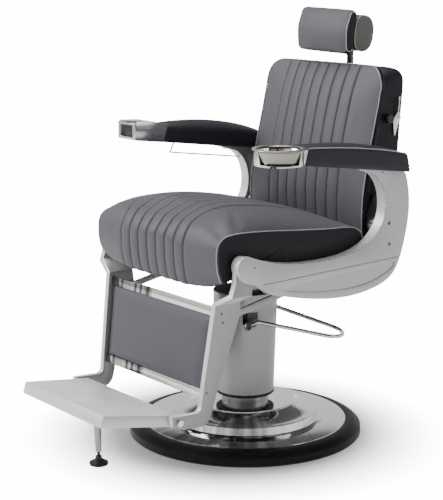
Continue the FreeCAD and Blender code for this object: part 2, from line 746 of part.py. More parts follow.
def seat_cushion():
    """Seat cushion: a channelled blanket that rolls over the front of a firm core."""
    stations = [(-276, 490, 250, 28), (-288, 515, 195, 12), (-291, 545, 180, 11), (-285, 580, 152, 15)]
    stations += [(-264, 600, 115, 25), (-225, 607, 93, 33), (-140, 603, 87, 38), (-40, 595, 86, 37)]
    stations += [(60, 586.5, 84, 30), (118, 580.5, 80, 21), (150, 571.5, 62, 12), (172, 554, 35, 7)]
    stations += [(180, 536, 12, 4)]
    wires = []
    for y, z, turn, crown in stations:
        angle = math.radians(turn)
        normal = Vec(0, math.cos(angle), math.sin(angle))
        wires.append(channelled_section(Vec(0, y, z), normal, SEAT_HALF, crown, SEAT_CROWN_POWER, SEAT_DEPTH,
                                        SEAT_PITCH))
    blanket = lofted(wires, True)
    low = BOARD_Z + BOARD_THICK + GAP_SOFT
    core_points = [(-258, low + 8), (-264, 515), (-266, 545), (-262, 566), (-250, 578), (-224, 583)]
    core_points += [(-40, 571), (60, 562), (120, 554), (140, 545), (152, 530), (165, low + 14), (150, low), (-250, low)]
    core = polygon_yz(core_points, -SEAT_CORE_HALF, SEAT_CORE_HALF)
    return single(blanket.fuse(core))


def back_level(rise):
    """Height on the backrest of a station, given by its rise over the lower edge."""
    return BACK_BOTTOM + rise * (BACK_TOP - BACK_BOTTOM) / BACK_RISE


def back_front_line():
    """Stations up the front of the backrest: y, z, direction of its normal and crown."""
    stations = [(204, 0, 180, 2), (204, 40, 180, 7), (205, 85, 178, 13), (215, 144, 170, 18),
                (231, 220, 167, 21), (244, 273, 166, 21), (256, 325, 165, 20), (264, 365, 166, 17),
                (268, 390, 163, 12), (273, 406, 150, 7), (278, 417, 130, 3)]
    return [(y, back_level(rise), turn, crown) for y, rise, turn, crown in stations]


def back_half_width(z):
    """Half width of the backrest at a height, with its rounded top corners."""
    low = BACK_TOP - BACK_CORNER_R
    if z <= low:
        return BACK_HALF
    drop = min(z - low, BACK_CORNER_R - 0.5)
    return BACK_HALF - BACK_CORNER_R + math.sqrt(BACK_CORNER_R ** 2 - drop ** 2)


def back_cushion():
    """Channelled front cushion of the backrest."""
    wires = []
    for y, z, turn, crown in back_front_line():
        angle = math.radians(turn)
        normal = Vec(0, math.cos(angle), math.sin(angle))
        half = back_half_width(z) - GAP_SOFT
        wires.append(channelled_section(Vec(0, y, z), normal, half, crown, BACK_CROWN_POWER, BACK_PAD_DEPTH,
                                        BACK_PITCH))
    return single(lofted(wires, True))


def shell_face(y, corner_r):
    """Outline of the backrest from behind at a depth, with its upper corners rounded."""
    inner = BACK_HALF - corner_r
    corner = BACK_TOP - corner_r
    half_turn = corner_r * math.sqrt(0.5)

    def at(x, z):
        return Vec(x, y, z)

    edges = [line(at(-BACK_HALF, BACK_BOTTOM - 1), at(-BACK_HALF, corner))]
    edges += [arc(at(-BACK_HALF, corner), at(-inner - half_turn, corner + half_turn), at(-inner, BACK_TOP))]
    edges += [line(at(-inner, BACK_TOP), at(inner, BACK_TOP))]
    edges += [arc(at(inner, BACK_TOP), at(inner + half_turn, corner + half_turn), at(BACK_HALF, corner))]
    edges += [line(at(BACK_HALF, corner), at(BACK_HALF, BACK_BOTTOM - 1))]
    edges += [line(at(BACK_HALF, BACK_BOTTOM - 1), at(-BACK_HALF, BACK_BOTTOM - 1))]
    return Part.Wire(edges)


def back_shell():
    """Boxed rear of the backrest, rounded at its top and rear edges."""
    front = []
    for y, z, turn, crown in back_front_line():
        angle = math.radians(turn)
        reach = BACK_PAD_DEPTH + GAP_SOFT
        front.append(Vec(0, y - math.cos(angle) * reach, z - math.sin(angle) * reach))
    low_front = Vec(0, front[0].y, BACK_BOTTOM)
    top_front = Vec(0, 302, BACK_TOP - 3)
    top_mid = Vec(0, 332, BACK_TOP - 10)
    rear_high = Vec(0, 343, BACK_TOP - 36)
    rear_mid = Vec(0, 336, back_level(270))
    rear_low = Vec(0, 311, BACK_BOTTOM)
    front_line = [p for p in front[1:-1]]
    edges = [line(a, b) for a, b in zip([low_front] + front_line, front_line + [top_front])]
    edges += [arc(top_front, top_mid, rear_high), arc(rear_high, rear_mid, rear_low), line(rear_low, low_front)]
    wide = BACK_HALF + 5
    for edge in edges:
        edge.translate(Vec(-wide, 0, 0))
    body = solid_of_wire(edges, Vec(2 * wide, 0, 0))
    mask = lofted([shell_face(190, BACK_CORNER_R), shell_face(SHELL_FRONT_Y, BACK_CORNER_R),
                   shell_face(SHELL_REAR_Y, SHELL_REAR_CORNER_R)], True)
    return single(body.common(mask))


def crank_inner():
    """Distance of a crank's inner face from the chair's middle plane."""
    return leg_inner(LINK_PIN_Z) + CRANK_GAP


def bracket_outer():
    """Distance of a bracket's outermost face from the chair's middle plane."""
    return max(BACK_HALF, crank_inner()) + BRACKET_THICK


def back_brackets():
    """Forged brackets under the backrest: pivot pin above, joggled crank below."""
    plate_in = BACK_HALF
    plate_out = plate_in + BRACKET_THICK
    crank_in = crank_inner()
    crank_out = crank_in + BRACKET_THICK
    pivot_y = BACK_PIVOT_Y
    pivot_z = BACK_PIVOT_Z
    step_low = BACK_BOTTOM - 18
    step_high = BACK_BOTTOM
    upper = polygon_yz([(pivot_y - 20, step_low), (pivot_y + 26, step_low), (pivot_y + 24, pivot_z + 40),
                        (pivot_y + 14, pivot_z + 78), (pivot_y - 2, pivot_z + 78), (pivot_y - 20, pivot_z + 30)],
                       plate_in, plate_out)
    upper = upper.fuse(cylinder_x(BRACKET_R - 2, pivot_y, pivot_z, plate_in, plate_out))
    step = box(min(plate_in, crank_in), bracket_outer(), pivot_y - 8, pivot_y + 26, step_low, step_high)
    lower = polygon_yz([(pivot_y - 8, step_high), (pivot_y + 26, step_high), (CRANK_Y + CRANK_R, CRANK_Z + 2),
                        (CRANK_Y - CRANK_R, CRANK_Z - 2)], crank_in, crank_out)
    lower = lower.fuse(cylinder_x(CRANK_R, CRANK_Y, CRANK_Z, crank_in, crank_out))
    pin = cylinder_x(BACK_PIN_R, pivot_y, pivot_z, plate_in, FRAME_OUT - FRAME_SKIN - 8)
    crank_pin = cylinder_x(CRANK_PIN_R, CRANK_Y, CRANK_Z, crank_in - LINK_THICK - LINK_GAP - 2, crank_out)
    bracket = upper.fuse(step).fuse(lower).fuse(pin).fuse(crank_pin)
    return both_sides(single(bracket))


# Back side controls

def lock_knob():
    """Round knob on the side of the backrest."""
    face = BACK_HALF + GAP_SEAT
    grip = cylinder_x(KNOB_R, KNOB_Y, KNOB_Z, face + 6, face + 18)
    grip = grip.makeFillet(2, [e for e in grip.Edges if e.BoundBox.XMin > face + 17])
    neck = cylinder_x(KNOB_R - 4, KNOB_Y, KNOB_Z, face, face + 7)
    knob = grip.fuse(neck)
    flute_count = 8
    for i in range(flute_count):
        turn = 2 * math.pi * i / flute_count
        y = KNOB_Y + (KNOB_R + 1.5) * math.cos(turn)
        z = KNOB_Z + (KNOB_R + 1.5) * math.sin(turn)
        knob = knob.cut(cylinder_x(3, y, z, face + 5, face + 19))
    return single(knob.cut(cylinder_x(3 + GAP_RUN, KNOB_Y, KNOB_Z, face - 1, face + 12)))


def knob_stud():
    """Stud in the backrest that the knob turns on."""
    face = BACK_HALF + GAP_SEAT
    return cylinder_x(3, KNOB_Y, KNOB_Z, BACK_HALF, face + 11)


def release_lever():
    """Flat blade that releases the recline, on the rear of the backrest's side."""
    face = BACK_HALF + 2
    blade = polygon_yz([(321, 901), (326, 901), (322, 862), (327.5, 846), (322, 825), (313, 800), (309.5, 803),
                        (310, 835), (312, 848), (318, 862)], face, face + RELEASE_THICK)
    hub = cylinder_x(6, RELEASE_Y - 1, RELEASE_Z, BACK_HALF + GAP_SEAT, face + RELEASE_THICK + 1)
    return single(blade.fuse(hub))


# Headrest

def headrest_socket():
    """Square guide on the rear of the backrest that the post slides in."""
    half_x = POST_WIDTH / 2 + GAP_SLIDE
    half_y = POST_THICK / 2 + GAP_SLIDE
    outer_x = half_x + SOCKET_WALL
    outer_y = half_y + SOCKET_WALL
    guide = box(-outer_x, outer_x, POST_Y - outer_y, POST_Y + outer_y, SOCKET_LOW, SOCKET_HIGH)
    flange = polygon_yz([(325, 820), (POST_Y - half_y - 1, 815), (POST_Y - half_y - 1, 940), (325, 930)],
                        -outer_x - 14, outer_x + 14)
    body = guide.fuse(flange)
    body = body.cut(back_shell())
    return single(body.cut(box(-half_x, half_x, POST_Y - half_y, POST_Y + half_y, SOCKET_LOW - 1, SOCKET_HIGH + 1)))


def headrest_post():
    """Flat post of the headrest, with a round knuckle on top."""
    half_x = POST_WIDTH / 2
    half_y = POST_THICK / 2
    bar = box(-half_x, half_x, POST_Y - half_y, POST_Y + half_y, POST_LOW, HEAD_PIVOT_Z)
    knuckle = cylinder_x(KNUCKLE_R, POST_Y, HEAD_PIVOT_Z, -half_x, half_x)
    post = bar.fuse(knuckle)
    return single(post.cut(cylinder_x(KNUCKLE_PIN_R + GAP_RUN, POST_Y, HEAD_PIVOT_Z, -half_x - 1, half_x + 1)))


def leaned(shape):
    """A headrest piece leaned back to its rest angle."""
    shape.rotate(Vec(0, 318, 1062), Vec(1, 0, 0), HEADREST_TURN)
    return shape


def roll_section(x, shrink):
    """Oval section of the headrest's rear roll."""
    low = Vec(x, 318, 1014 + shrink)
    high = Vec(x, 318, 1108 - shrink)
    front = Vec(x, 291, 1061)
    back = Vec(x, 354 - shrink, 1061)
    return Part.Wire([arc(low, back, high), arc(high, front, low)])


def headrest_roll():
    """Rounded rear half of the headrest."""
    wires = [roll_section(-ROLL_HALF - 5, 8), roll_section(-ROLL_HALF, 1), roll_section(0, 0)]
    wires += [roll_section(ROLL_HALF, 1), roll_section(ROLL_HALF + 5, 8)]
    return leaned(single(lofted(wires, True)))


def headrest_pad():
    """Front pad of the headrest: crowned, with drawn-in ends."""
    mid_z = (HEADREST_LOW + HEADREST_HIGH) / 2
    wires = []
    for x, shrink, front in ((-1, 7, 266), (-0.94, 1, 261), (-0.5, 0, 255), (0, 0, 253),
                             (0.5, 0, 255), (0.94, 1, 261), (1, 7, 266)):
        place = x * HEADREST_HALF
        low_front = Vec(place, 270, HEADREST_LOW + shrink)
        high_front = Vec(place, 270, HEADREST_HIGH - shrink)
        high_back = Vec(place, 291 - GAP_SOFT, HEADREST_HIGH - shrink - 3)
        low_back = Vec(place, 291 - GAP_SOFT, HEADREST_LOW + shrink + 3)
        crown = Vec(place, front, mid_z)
        edges = [arc(low_front, crown, high_front), line(high_front, high_back)]
        edges += [line(high_back, low_back), line(low_back, low_front)]
        wires.append(Part.Wire(edges))
    return leaned(single(lofted(wires, True)))


def headrest_ears():
    """Bracket on the roll with two ears and the pin through the knuckle."""
    ear_in = POST_WIDTH / 2 + GAP_SEAT
    ear_out = ear_in + 6
    ear = polygon_yz([(335, 1052), (352, 1030), (POST_Y + 3, HEAD_PIVOT_Z - 10), (POST_Y + 8, HEAD_PIVOT_Z + 8),
                      (345, 1085)], ear_in, ear_out)
    ear = ear.fuse(cylinder_x(KNUCKLE_R - 1, POST_Y, HEAD_PIVOT_Z, ear_in, ear_out))
    pin = cylinder_x(KNUCKLE_PIN_R, POST_Y, HEAD_PIVOT_Z, -ear_out - 2, ear_out + 2)
    bracket = ear.fuse(mirrored(ear)).fuse(pin)
    return single(bracket.cut(headrest_roll()))


# Arms

def arm_top(y):
    """Height of the upper outer edge of an arm pad."""
    run = y + 74.0
    return 805.0 - 0.02 * run - 0.00027 * run * run


def arm_crown(y):
    """Height of the arm pad's crown over its edges."""
    share = max(0.0, min(1.0, (y - ARM_FRONT) / 345.0))
    return 5.0 + 3.0 * math.sin(math.pi * share)


def arm_seam(behind):
    """Region behind or in front of the slanted seam between pad and cap."""
    low = (CAP_SEAM_LOW_Y, CAP_SEAM_LOW_Z)
    high = (CAP_SEAM_HIGH_Y, CAP_SEAM_HIGH_Z)
    if behind:
        rear = ARM_BACK + 124
        under = CAP_SEAM_LOW_Z - 105
        return polygon_yz([low, high, (rear, high[1]), (rear, under), (low[0], under)], ARM_IN - 50, ARM_OUT + 50)
    gap = 0.2
    front = BOWL_Y - 269
    return polygon_yz([(low[0] - gap, low[1]), (high[0] - gap, high[1]), (front, high[1]), (front, low[1])],
                      ARM_IN - 50, ARM_OUT + 50)


def arm_pad(with_bowl):
    """Arm pad of the left side: crowned, arched, grooved for the frame's bar and relieved for the bowl."""
    wires = []
    for y in (ARM_FRONT - 24, -30, 20, 70, 120, 170, 215, 250, ARM_BACK + 8):
        low = arm_bottom(y) + GAP_SOFT
        side = arm_top(max(y, ARM_FRONT))
        crown = side + arm_crown(y)
        low_in = Vec(ARM_IN, y, low)
        low_out = Vec(ARM_OUT, y, low)
        high_out = Vec(ARM_OUT, y, side)
        high_in = Vec(ARM_IN, y, side)
        edges = [line(low_in, low_out), line(low_out, high_out), arc(high_out, Vec(ARM_MID, y, crown), high_in)]
        edges += [line(high_in, low_in)]
        wires.append(Part.Wire(edges))
    pad = lofted(wires, True).common(arm_seam(True))
    pad = pad.cut(polygon_yz([(ARM_BACK, 700), (ARM_BACK - 16, 790), (400, 790), (400, 700)], ARM_IN - 5, ARM_OUT + 5))
    front = ARM_FRONT + 13
    back = 251.0
    groove = polygon_yz([(front, arm_bottom(front) - 5), (front, arm_bottom(front) + 24.5),
                         (back, arm_bottom(back) + 24.5), (back, arm_bottom(back) - 5)],
                        ARM_BAR_IN - 0.5, ARM_BAR_OUT + 0.5)
    pad = pad.cut(groove)
    if with_bowl:
        pad = pad.cut(cylinder_z(BOWL_RIM_R + 3, ARM_MID, BOWL_Y, BOWL_RIM_Z - 3.5, BOWL_RIM_Z + 30))
    return single(pad)


def arm_cap_left():
    """Bright cup holder on the end of the left arm: a ring that runs into the arm, with a wide side window."""
    top = BOWL_RIM_Z - 2
    ring = cylinder_z(HOLDER_R, ARM_MID, BOWL_Y, HOLDER_LOW, top)
    touch_x = HOLDER_R * math.cos(math.radians(25))
    touch_y = BOWL_Y + HOLDER_R * math.sin(math.radians(25))
    corners = [Vec(ARM_MID - touch_x, touch_y, HOLDER_LOW), Vec(ARM_IN, -88, HOLDER_LOW)]
    corners += [Vec(ARM_IN, -60, HOLDER_LOW), Vec(ARM_OUT, -60, HOLDER_LOW), Vec(ARM_OUT, -88, HOLDER_LOW)]
    corners += [Vec(ARM_MID + touch_x, touch_y, HOLDER_LOW)]
    block = Part.Face(Part.makePolygon(corners + corners[:1])).extrude(Vec(0, 0, top - HOLDER_LOW))
    cap = ring.fuse(block).common(arm_seam(False))
    floor = HOLDER_LOW + HOLDER_FLOOR
    room = Part.makeCone(BOWL_LOW_R + 1.5, BOWL_TOP_R + 1.5, top - floor, Vec(ARM_MID, BOWL_Y, floor))
    window = lofted([window_section(0, floor, top), window_section(HOLDER_R + 20, floor, top)], True)
    return single(cap.cut(room).cut(window))


def window_section(reach, floor, top):
    """Upright outline of the cup holder's window at a distance from the bowl's axis."""
    turn = math.radians(WINDOW_TURN)
    out = Vec(math.cos(turn), math.sin(turn), 0)
    side = Vec(-out.y, out.x, 0)
    middle = Vec(ARM_MID, BOWL_Y, floor) + out * reach
    rise = Vec(0, 0, top + 1 - floor)
    corners = [middle - side * WINDOW_LOW_HALF, middle + side * WINDOW_LOW_HALF]
    corners += [middle + side * WINDOW_TOP_HALF + rise, middle - side * WINDOW_TOP_HALF + rise]
    return Part.makePolygon(corners + corners[:1])


def holder_catch():
    """Small black catch with two pads under the front of the cup holder."""
    turn = math.radians(CATCH_TURN)
    strip = box(HOLDER_R, HOLDER_R + 1.5, -8, 8, HOLDER_LOW - 2, HOLDER_LOW + 4)
    pads = box(HOLDER_R - 5, HOLDER_R, -8, 8, HOLDER_LOW - 2, HOLDER_LOW)
    catch = strip.fuse(pads).cut(cylinder_z(HOLDER_R, 0, 0, HOLDER_LOW, HOLDER_LOW + 10))
    catch = catch.cut(box(HOLDER_R - 6, HOLDER_R + 2, -1.5, 1.5, HOLDER_LOW - 3, HOLDER_LOW + 1))
    catch.rotate(Vec(0, 0, 0), Vec(0, 0, 1), math.degrees(turn))
    catch.translate(Vec(ARM_MID, BOWL_Y, 0))
    return single(catch)


def ash_bowl():
    """Lift-out metal bowl with a rolled rim and a round lower corner."""
    wall = BOWL_WALL
    rim_z = BOWL_RIM_Z
    corner = BOWL_CORNER_R
    under = rim_z - 1.7
    low_in = Vec(BOWL_LOW_R - corner, 0, BOWL_LOW_Z)
    low_mid = Vec(BOWL_LOW_R - 0.3 * corner, 0, BOWL_LOW_Z + 0.3 * corner)
    low_out = Vec(BOWL_LOW_R, 0, BOWL_LOW_Z + corner)
    inside_low = low_in + Vec(0, 0, wall)
    inside_mid = low_mid + Vec(-0.7 * wall, 0, 0.7 * wall)
    inside_out = low_out + Vec(-wall, 0, 0)
    outer = [low_out, Vec(BOWL_TOP_R, 0, under - 1.3), Vec(BOWL_TOP_R + 1.2, 0, under), Vec(BOWL_RIM_R, 0, under)]
    rim_out = Vec(BOWL_RIM_R, 0, rim_z + 2.3)
    rim_mid = Vec(BOWL_RIM_R + 2, 0, rim_z + 0.3)
    inner = [rim_out, Vec(BOWL_TOP_R + 3, 0, rim_z + 2.3), Vec(BOWL_TOP_R - wall, 0, rim_z), inside_out]
    edges = [line(Vec(0, 0, BOWL_LOW_Z), low_in), arc(low_in, low_mid, low_out)]
    edges += [line(a, b) for a, b in zip(outer, outer[1:])]
    edges += [arc(outer[-1], rim_mid, rim_out)]
    edges += [line(a, b) for a, b in zip(inner, inner[1:])]
    edges += [arc(inside_out, inside_mid, inside_low), line(inside_low, Vec(0, 0, BOWL_LOW_Z + wall))]
    edges += [line(Vec(0, 0, BOWL_LOW_Z + wall), Vec(0, 0, BOWL_LOW_Z))]
    bowl = revolved(edges)
    bowl.translate(Vec(ARM_MID, BOWL_Y, 0))
    return bowl


def arm_cap_right():
    """Square bright cap on the end of the right arm, hollow at its front."""
    front = -180.0
    body = polygon_yz([(front, 777), (front + 6, 775), (-70, arm_bottom(-70) + GAP_SOFT), (-60, 811),
                       (front + 60, 824), (front + 8, 826), (front, 822)], ARM_IN, ARM_OUT)
    body = body.common(arm_seam(False))
    body = body.cut(box(ARM_IN + 12, ARM_OUT - 10, front - 1, front + 14, INSERT_LOW, INSERT_HIGH))
    oval = Part.makeCylinder(7, 10, Vec(ARM_MID, front + 45, 817), Vec(0, 0, 1))
    return mirrored(single(body.cut(oval)))


def cap_insert():
    """Black insert in the front of the right cap."""
    front = -180.0
    plate = box(ARM_IN + 12, ARM_OUT - 10, front + 8, front + 14, INSERT_LOW, INSERT_HIGH)
    return mirrored(plate)


def towel_rail():
    """Bent wire under the right arm, from the pad to the face of the frame."""
    top = Vec(RAIL_X, -27, arm_bottom(-27) + 6)
    low = Vec(RAIL_X, -42, 731)
    end = Vec(RAIL_X, 209, 698)
    wire = rod(RAIL_R, top, low).fuse(rod(RAIL_R, low, end)).fuse(Part.makeSphere(RAIL_R, low))
    solid_frame = Part.Face(frame_outline(FRAME_IN)).extrude(Vec(FRAME_OUT - FRAME_IN, 0, 0))
    return single(wire.cut(mirrored(solid_frame)))


# Legs and leg rest

def leg_inner(z):
    """Distance of a leg's inner face from the chair's middle plane at a height."""
    share = (z - LEG_IN_LOW_Z) / (LEG_IN_HIGH_Z - LEG_IN_LOW_Z)
    return LEG_IN_LOW + share * (LEG_IN_HIGH - LEG_IN_LOW)


def leg_side_view():
    """Side outline of a leg: eye, upper arm, shin and elbow."""

    def at(y, z):
        return Vec(180, y, z)

    eye_y = LEG_PIVOT_Y
    eye_z = LEG_PIVOT_Z
    r = LEG_EYE_R
    points = [at(eye_y - r, eye_z), at(-262, 490), at(-273, 458), at(-285, 431), at(-318, 184)]
    elbow_in = [at(-318, 184), at(-322.5, 170), at(-335, 165)]
    toe = [at(-335, 165), at(-406, 168.5), at(-403, 142), at(-372, 131), at(-330, 129)]
    heel = [at(-330, 129), at(-301, 133), at(-286, 155)]
    back = [at(-286, 155), at(-272, 207), at(-206, 402), at(-212, 457), at(eye_y + r, eye_z)]
    edges = [line(a, b) for a, b in zip(points, points[1:])]
    edges += [arc(*elbow_in)]
    edges += [line(a, b) for a, b in zip(toe, toe[1:])]
    edges += [arc(*heel)]
    edges += [line(a, b) for a, b in zip(back, back[1:])]
    edges += [arc(back[-1], at(eye_y, eye_z + r), points[0])]
    return solid_of_wire(edges, Vec(130, 0, 0))


def leg_front_view():
    """Front outline of a leg: slanting shin, joggle outwards and upright arm."""
    low_z = 120.0
    bend_in = leg_inner(LEG_IN_HIGH_Z)
    top = LEG_PIVOT_Z + LEG_EYE_R + 5
    upper_in = LEG_UPPER_OUT - LEG_THICK
    points = [(leg_inner(low_z), low_z), (leg_inner(low_z) + LEG_THICK, low_z), (bend_in + LEG_THICK, LEG_IN_HIGH_Z)]
    points += [(LEG_UPPER_OUT, LEG_JOGGLE_Z), (LEG_UPPER_OUT, top), (upper_in, top)]
    points += [(upper_in, LEG_JOGGLE_Z + 6), (leg_inner(LEG_IN_HIGH_Z + 4), LEG_IN_HIGH_Z + 4)]
    return polygon_xz(points, -430, -180)


def leg():
    """Cast leg on the sitter's left, from its eye in the side frame to its elbow."""
    body = leg_side_view().common(leg_front_view())
    body = body.fuse(cylinder_x(LEG_EYE_R, LEG_PIVOT_Y, LEG_PIVOT_Z, LEG_EYE_IN, LEG_UPPER_OUT))
    body = body.cut(cylinder_x(LEG_PIN_R + GAP_RUN, LEG_PIVOT_Y, LEG_PIVOT_Z, LEG_EYE_IN - 1, LEG_UPPER_OUT + 1))
    body = body.cut(cylinder_x(FOOT_PIN_R + GAP_RUN, FOOT_PIVOT_Y, FOOT_PIVOT_Z, 180, 240))
    pin_end = leg_inner(LINK_PIN_Z) + LEG_THICK - 4
    body = body.cut(cylinder_x(LINK_PIN_R + GAP_FIXED, LINK_PIN_Y, LINK_PIN_Z, 180, pin_end))
    return single(body)


def between_legs(shape, gap):
    """The part of a shape that lies between the legs' inner faces."""
    low = 160.0
    high = LEG_IN_HIGH_Z
    points = [(-leg_inner(low) + gap, low), (leg_inner(low) - gap, low), (leg_inner(high) - gap, high)]
    points += [(-leg_inner(high) + gap, high)]
    return single(shape.common(polygon_xz(points, -400, -200)))


def shin_front(z):
    """Place of the front of the leg rest panel at a height."""
    return -304.0 + (z - 218.0) * 28.0 / 183.0


def rest_bar(z0, z1):
    """Flat bright bar across the legs."""
    front = 3.0
    points = [(shin_front(z0) - front, z0), (shin_front(z1) - front, z1)]
    points += [(shin_front(z1) - front + BAR_THICK, z1), (shin_front(z0) - front + BAR_THICK, z0)]
    return between_legs(polygon_yz(points, -240, 240), 0.0)


def legrest_panel():
    """Padded panel between the legs, gently crowned to the front."""
    low = 218.0
    high = 401.0
    wires = []
    for z, crown in ((low, 1.0), (low + 30, PANEL_CROWN), (high - 30, PANEL_CROWN), (high, 1.0)):
        y = shin_front(z)
        half = leg_inner(z) - GAP_SOFT
        left = Vec(-half, y + 3, z)
        right = Vec(half, y + 3, z)
        back_left = Vec(-half, y + PANEL_THICK, z)
        back_right = Vec(half, y + PANEL_THICK, z)
        edges = [arc(left, Vec(0, y - crown, z), right), line(right, back_right)]
        edges += [line(back_right, back_left), line(back_left, left)]
        wires.append(Part.Wire(edges))
    return single(lofted(wires, True))


def link_front_pins():
    """Pins in the legs that carry the front ends of the link bars."""
    inner = leg_inner(LINK_PIN_Z) - LINK_GAP - LINK_THICK - 3
    pin = cylinder_x(LINK_PIN_R, LINK_PIN_Y, LINK_PIN_Z, inner, leg_inner(LINK_PIN_Z) + LEG_THICK - 4)
    head = cylinder_x(LINK_PIN_R + 3, LINK_PIN_Y, LINK_PIN_Z, inner, inner + 3 - GAP_SEAT)
    return both_sides(single(pin.fuse(head)))


def link_bars():
    """Long flat links from the legs to the backrest's cranks."""
    outer = leg_inner(LINK_PIN_Z) - LINK_GAP
    inner = outer - LINK_THICK
    run = Vec(0, CRANK_Y - LINK_PIN_Y, CRANK_Z - LINK_PIN_Z)
    side = Vec(0, -run.z, run.y)
    side.normalize()
    side = side * LINK_HALF_HEIGHT
    front = Vec(inner, LINK_PIN_Y, LINK_PIN_Z)
    rear = front + run
    corners = [front + side, rear + side, rear - side, front - side]
    bar = Part.Face(Part.makePolygon(corners + corners[:1])).extrude(Vec(LINK_THICK, 0, 0))
    bar = bar.fuse(cylinder_x(LINK_HALF_HEIGHT + 4, LINK_PIN_Y, LINK_PIN_Z, inner, outer))
    bar = bar.fuse(cylinder_x(LINK_EYE_R, CRANK_Y, CRANK_Z, inner, outer))
    bar = bar.cut(cylinder_x(LINK_PIN_R + GAP_RUN, LINK_PIN_Y, LINK_PIN_Z, inner - 1, outer + 1))
    bar = bar.cut(cylinder_x(LINK_FREE_R, CRANK_Y, CRANK_Z, inner - 1, outer + 1))
    return both_sides(single(bar))


# Footrest

def foot_top(y):
    """Height of the footrest's top face."""
    return FOOT_FRONT_Z - FOOT_SLOPE * (y - FOOT_FRONT_Y)


def foot_block(drop, low, inset):
    """The footrest's wedge shape between two depths under its top face, set in from its edges."""
    front = FOOT_FRONT_Y + inset
    back = FOOT_BACK_Y - inset
    profile = [(front, foot_top(front) - drop), (back, foot_top(back) - drop), (back, foot_top(back) - low)]
    profile += [(front - FOOT_DRAFT, foot_top(front) - low)]
    reach = FOOT_FRONT_Y - FOOT_DRAFT - 5
    spread = (FOOT_BACK_HALF - FOOT_FRONT_HALF) / (FOOT_BACK_Y - FOOT_FRONT_Y)
    front_half = FOOT_FRONT_HALF + spread * (reach - FOOT_FRONT_Y) - inset
    back_half = FOOT_BACK_HALF - inset
    corners = [Vec(-front_half, reach, 90), Vec(front_half, reach, 90)]
    corners += [Vec(back_half, FOOT_BACK_Y, 90), Vec(-back_half, FOOT_BACK_Y, 90)]
    plan = Part.Face(Part.makePolygon(corners + corners[:1])).extrude(Vec(0, 0, 130))
    return polygon_yz(profile, -back_half - 1, back_half + 1).common(plan)


def footrest_plate():
    """Cast foot plate: a shallow tray upside down, with ribs and hinge lugs."""
    body = foot_block(0, FOOT_SKIRT, 0).cut(foot_block(FOOT_WALL, FOOT_SKIRT + 10, FOOT_WALL))
    rib_low = FOOT_SKIRT - 8
    for x in (-110.0, 0.0, 110.0):
        rib = polygon_yz([(FOOT_FRONT_Y + 2, foot_top(FOOT_FRONT_Y) - FOOT_WALL + 1),
                          (FOOT_BACK_Y - 2, foot_top(FOOT_BACK_Y) - FOOT_WALL + 1),
                          (FOOT_BACK_Y - 2, foot_top(FOOT_BACK_Y) - rib_low),
                          (FOOT_FRONT_Y + 2, foot_top(FOOT_FRONT_Y) - rib_low)], x - 2.5, x + 2.5)
        body = body.fuse(rib)
    lug_out = FOOT_BACK_HALF + 1
    lug_r = FOOT_PIN_R + 7
    for side in (1, -1):
        x0, x1 = sorted((side * (lug_out - 14), side * lug_out))
        body = body.fuse(cylinder_x(lug_r, FOOT_PIVOT_Y, FOOT_PIVOT_Z, x0, x1))
    hole_r = FOOT_PIN_R + GAP_FIXED
    body = body.cut(cylinder_x(hole_r, FOOT_PIVOT_Y, FOOT_PIVOT_Z, -lug_out - 1, -lug_out + 15))
    body = body.cut(cylinder_x(hole_r, FOOT_PIVOT_Y, FOOT_PIVOT_Z, lug_out - 15, lug_out + 1))
    socket_z = foot_top(STAY_TOP_Y)
    socket = cylinder_z(STAY_TOP_R + 5, 0, STAY_TOP_Y, socket_z - 24, socket_z - 2)
    body = body.fuse(socket)
    return body.cut(stay_tube()).Solids[0]


def foot_hinge_pins():
    """Headed pins on which the footrest turns in the legs' elbows."""
    outer = leg_inner(FOOT_PIVOT_Z) + LEG_THICK + 1.2
    pin = cylinder_x(FOOT_PIN_R, FOOT_PIVOT_Y, FOOT_PIVOT_Z, FOOT_BACK_HALF - 13, outer + 1)
    head = cylinder_x(FOOT_PIN_R + 3, FOOT_PIVOT_Y, FOOT_PIVOT_Z, outer, outer + 4)
    head = head.makeFillet(1.5, [e for e in head.Edges if e.BoundBox.XMin > outer + 3.9])
    return both_sides(single(pin.fuse(head)))


def stay_tube():
    """Tapered tube under the footrest that props it on the floor."""
    top = Vec(0, STAY_TOP_Y, foot_top(STAY_TOP_Y) - FOOT_WALL - 1)
    low = Vec(0, STAY_FOOT_Y, STAY_LOW_Z)
    run = low.sub(top)
    return Part.makeCone(STAY_TOP_R, STAY_LOW_R, run.Length, top, run)


def stay_stem():
    """Threaded stem between the tube and the rubber foot."""
    pad_top = STAY_FLOOR_GAP + STAY_PAD_HEIGHT
    stem = cylinder_z(STAY_STEM_R, 0, STAY_FOOT_Y, pad_top - 6, STAY_LOW_Z + 1)
    nut = cylinder_z(STAY_STEM_R + 4, 0, STAY_FOOT_Y, pad_top, pad_top + 6)
    return single(stem.fuse(nut).cut(stay_tube()))


def stay_foot():
    """Rubber foot of the footrest's prop."""
    low = STAY_FLOOR_GAP
    high = low + STAY_PAD_HEIGHT
    profile = [(0, low), (STAY_PAD_R - 2, low), (STAY_PAD_R, low + 2), (STAY_PAD_R, low + 8)]
    profile += [(STAY_PAD_R - 12, high - 4), (STAY_PAD_R - 15, high), (0, high)]
    foot = turned(profile)
    foot.translate(Vec(0, STAY_FOOT_Y, 0))
    return foot.cut(stay_stem())


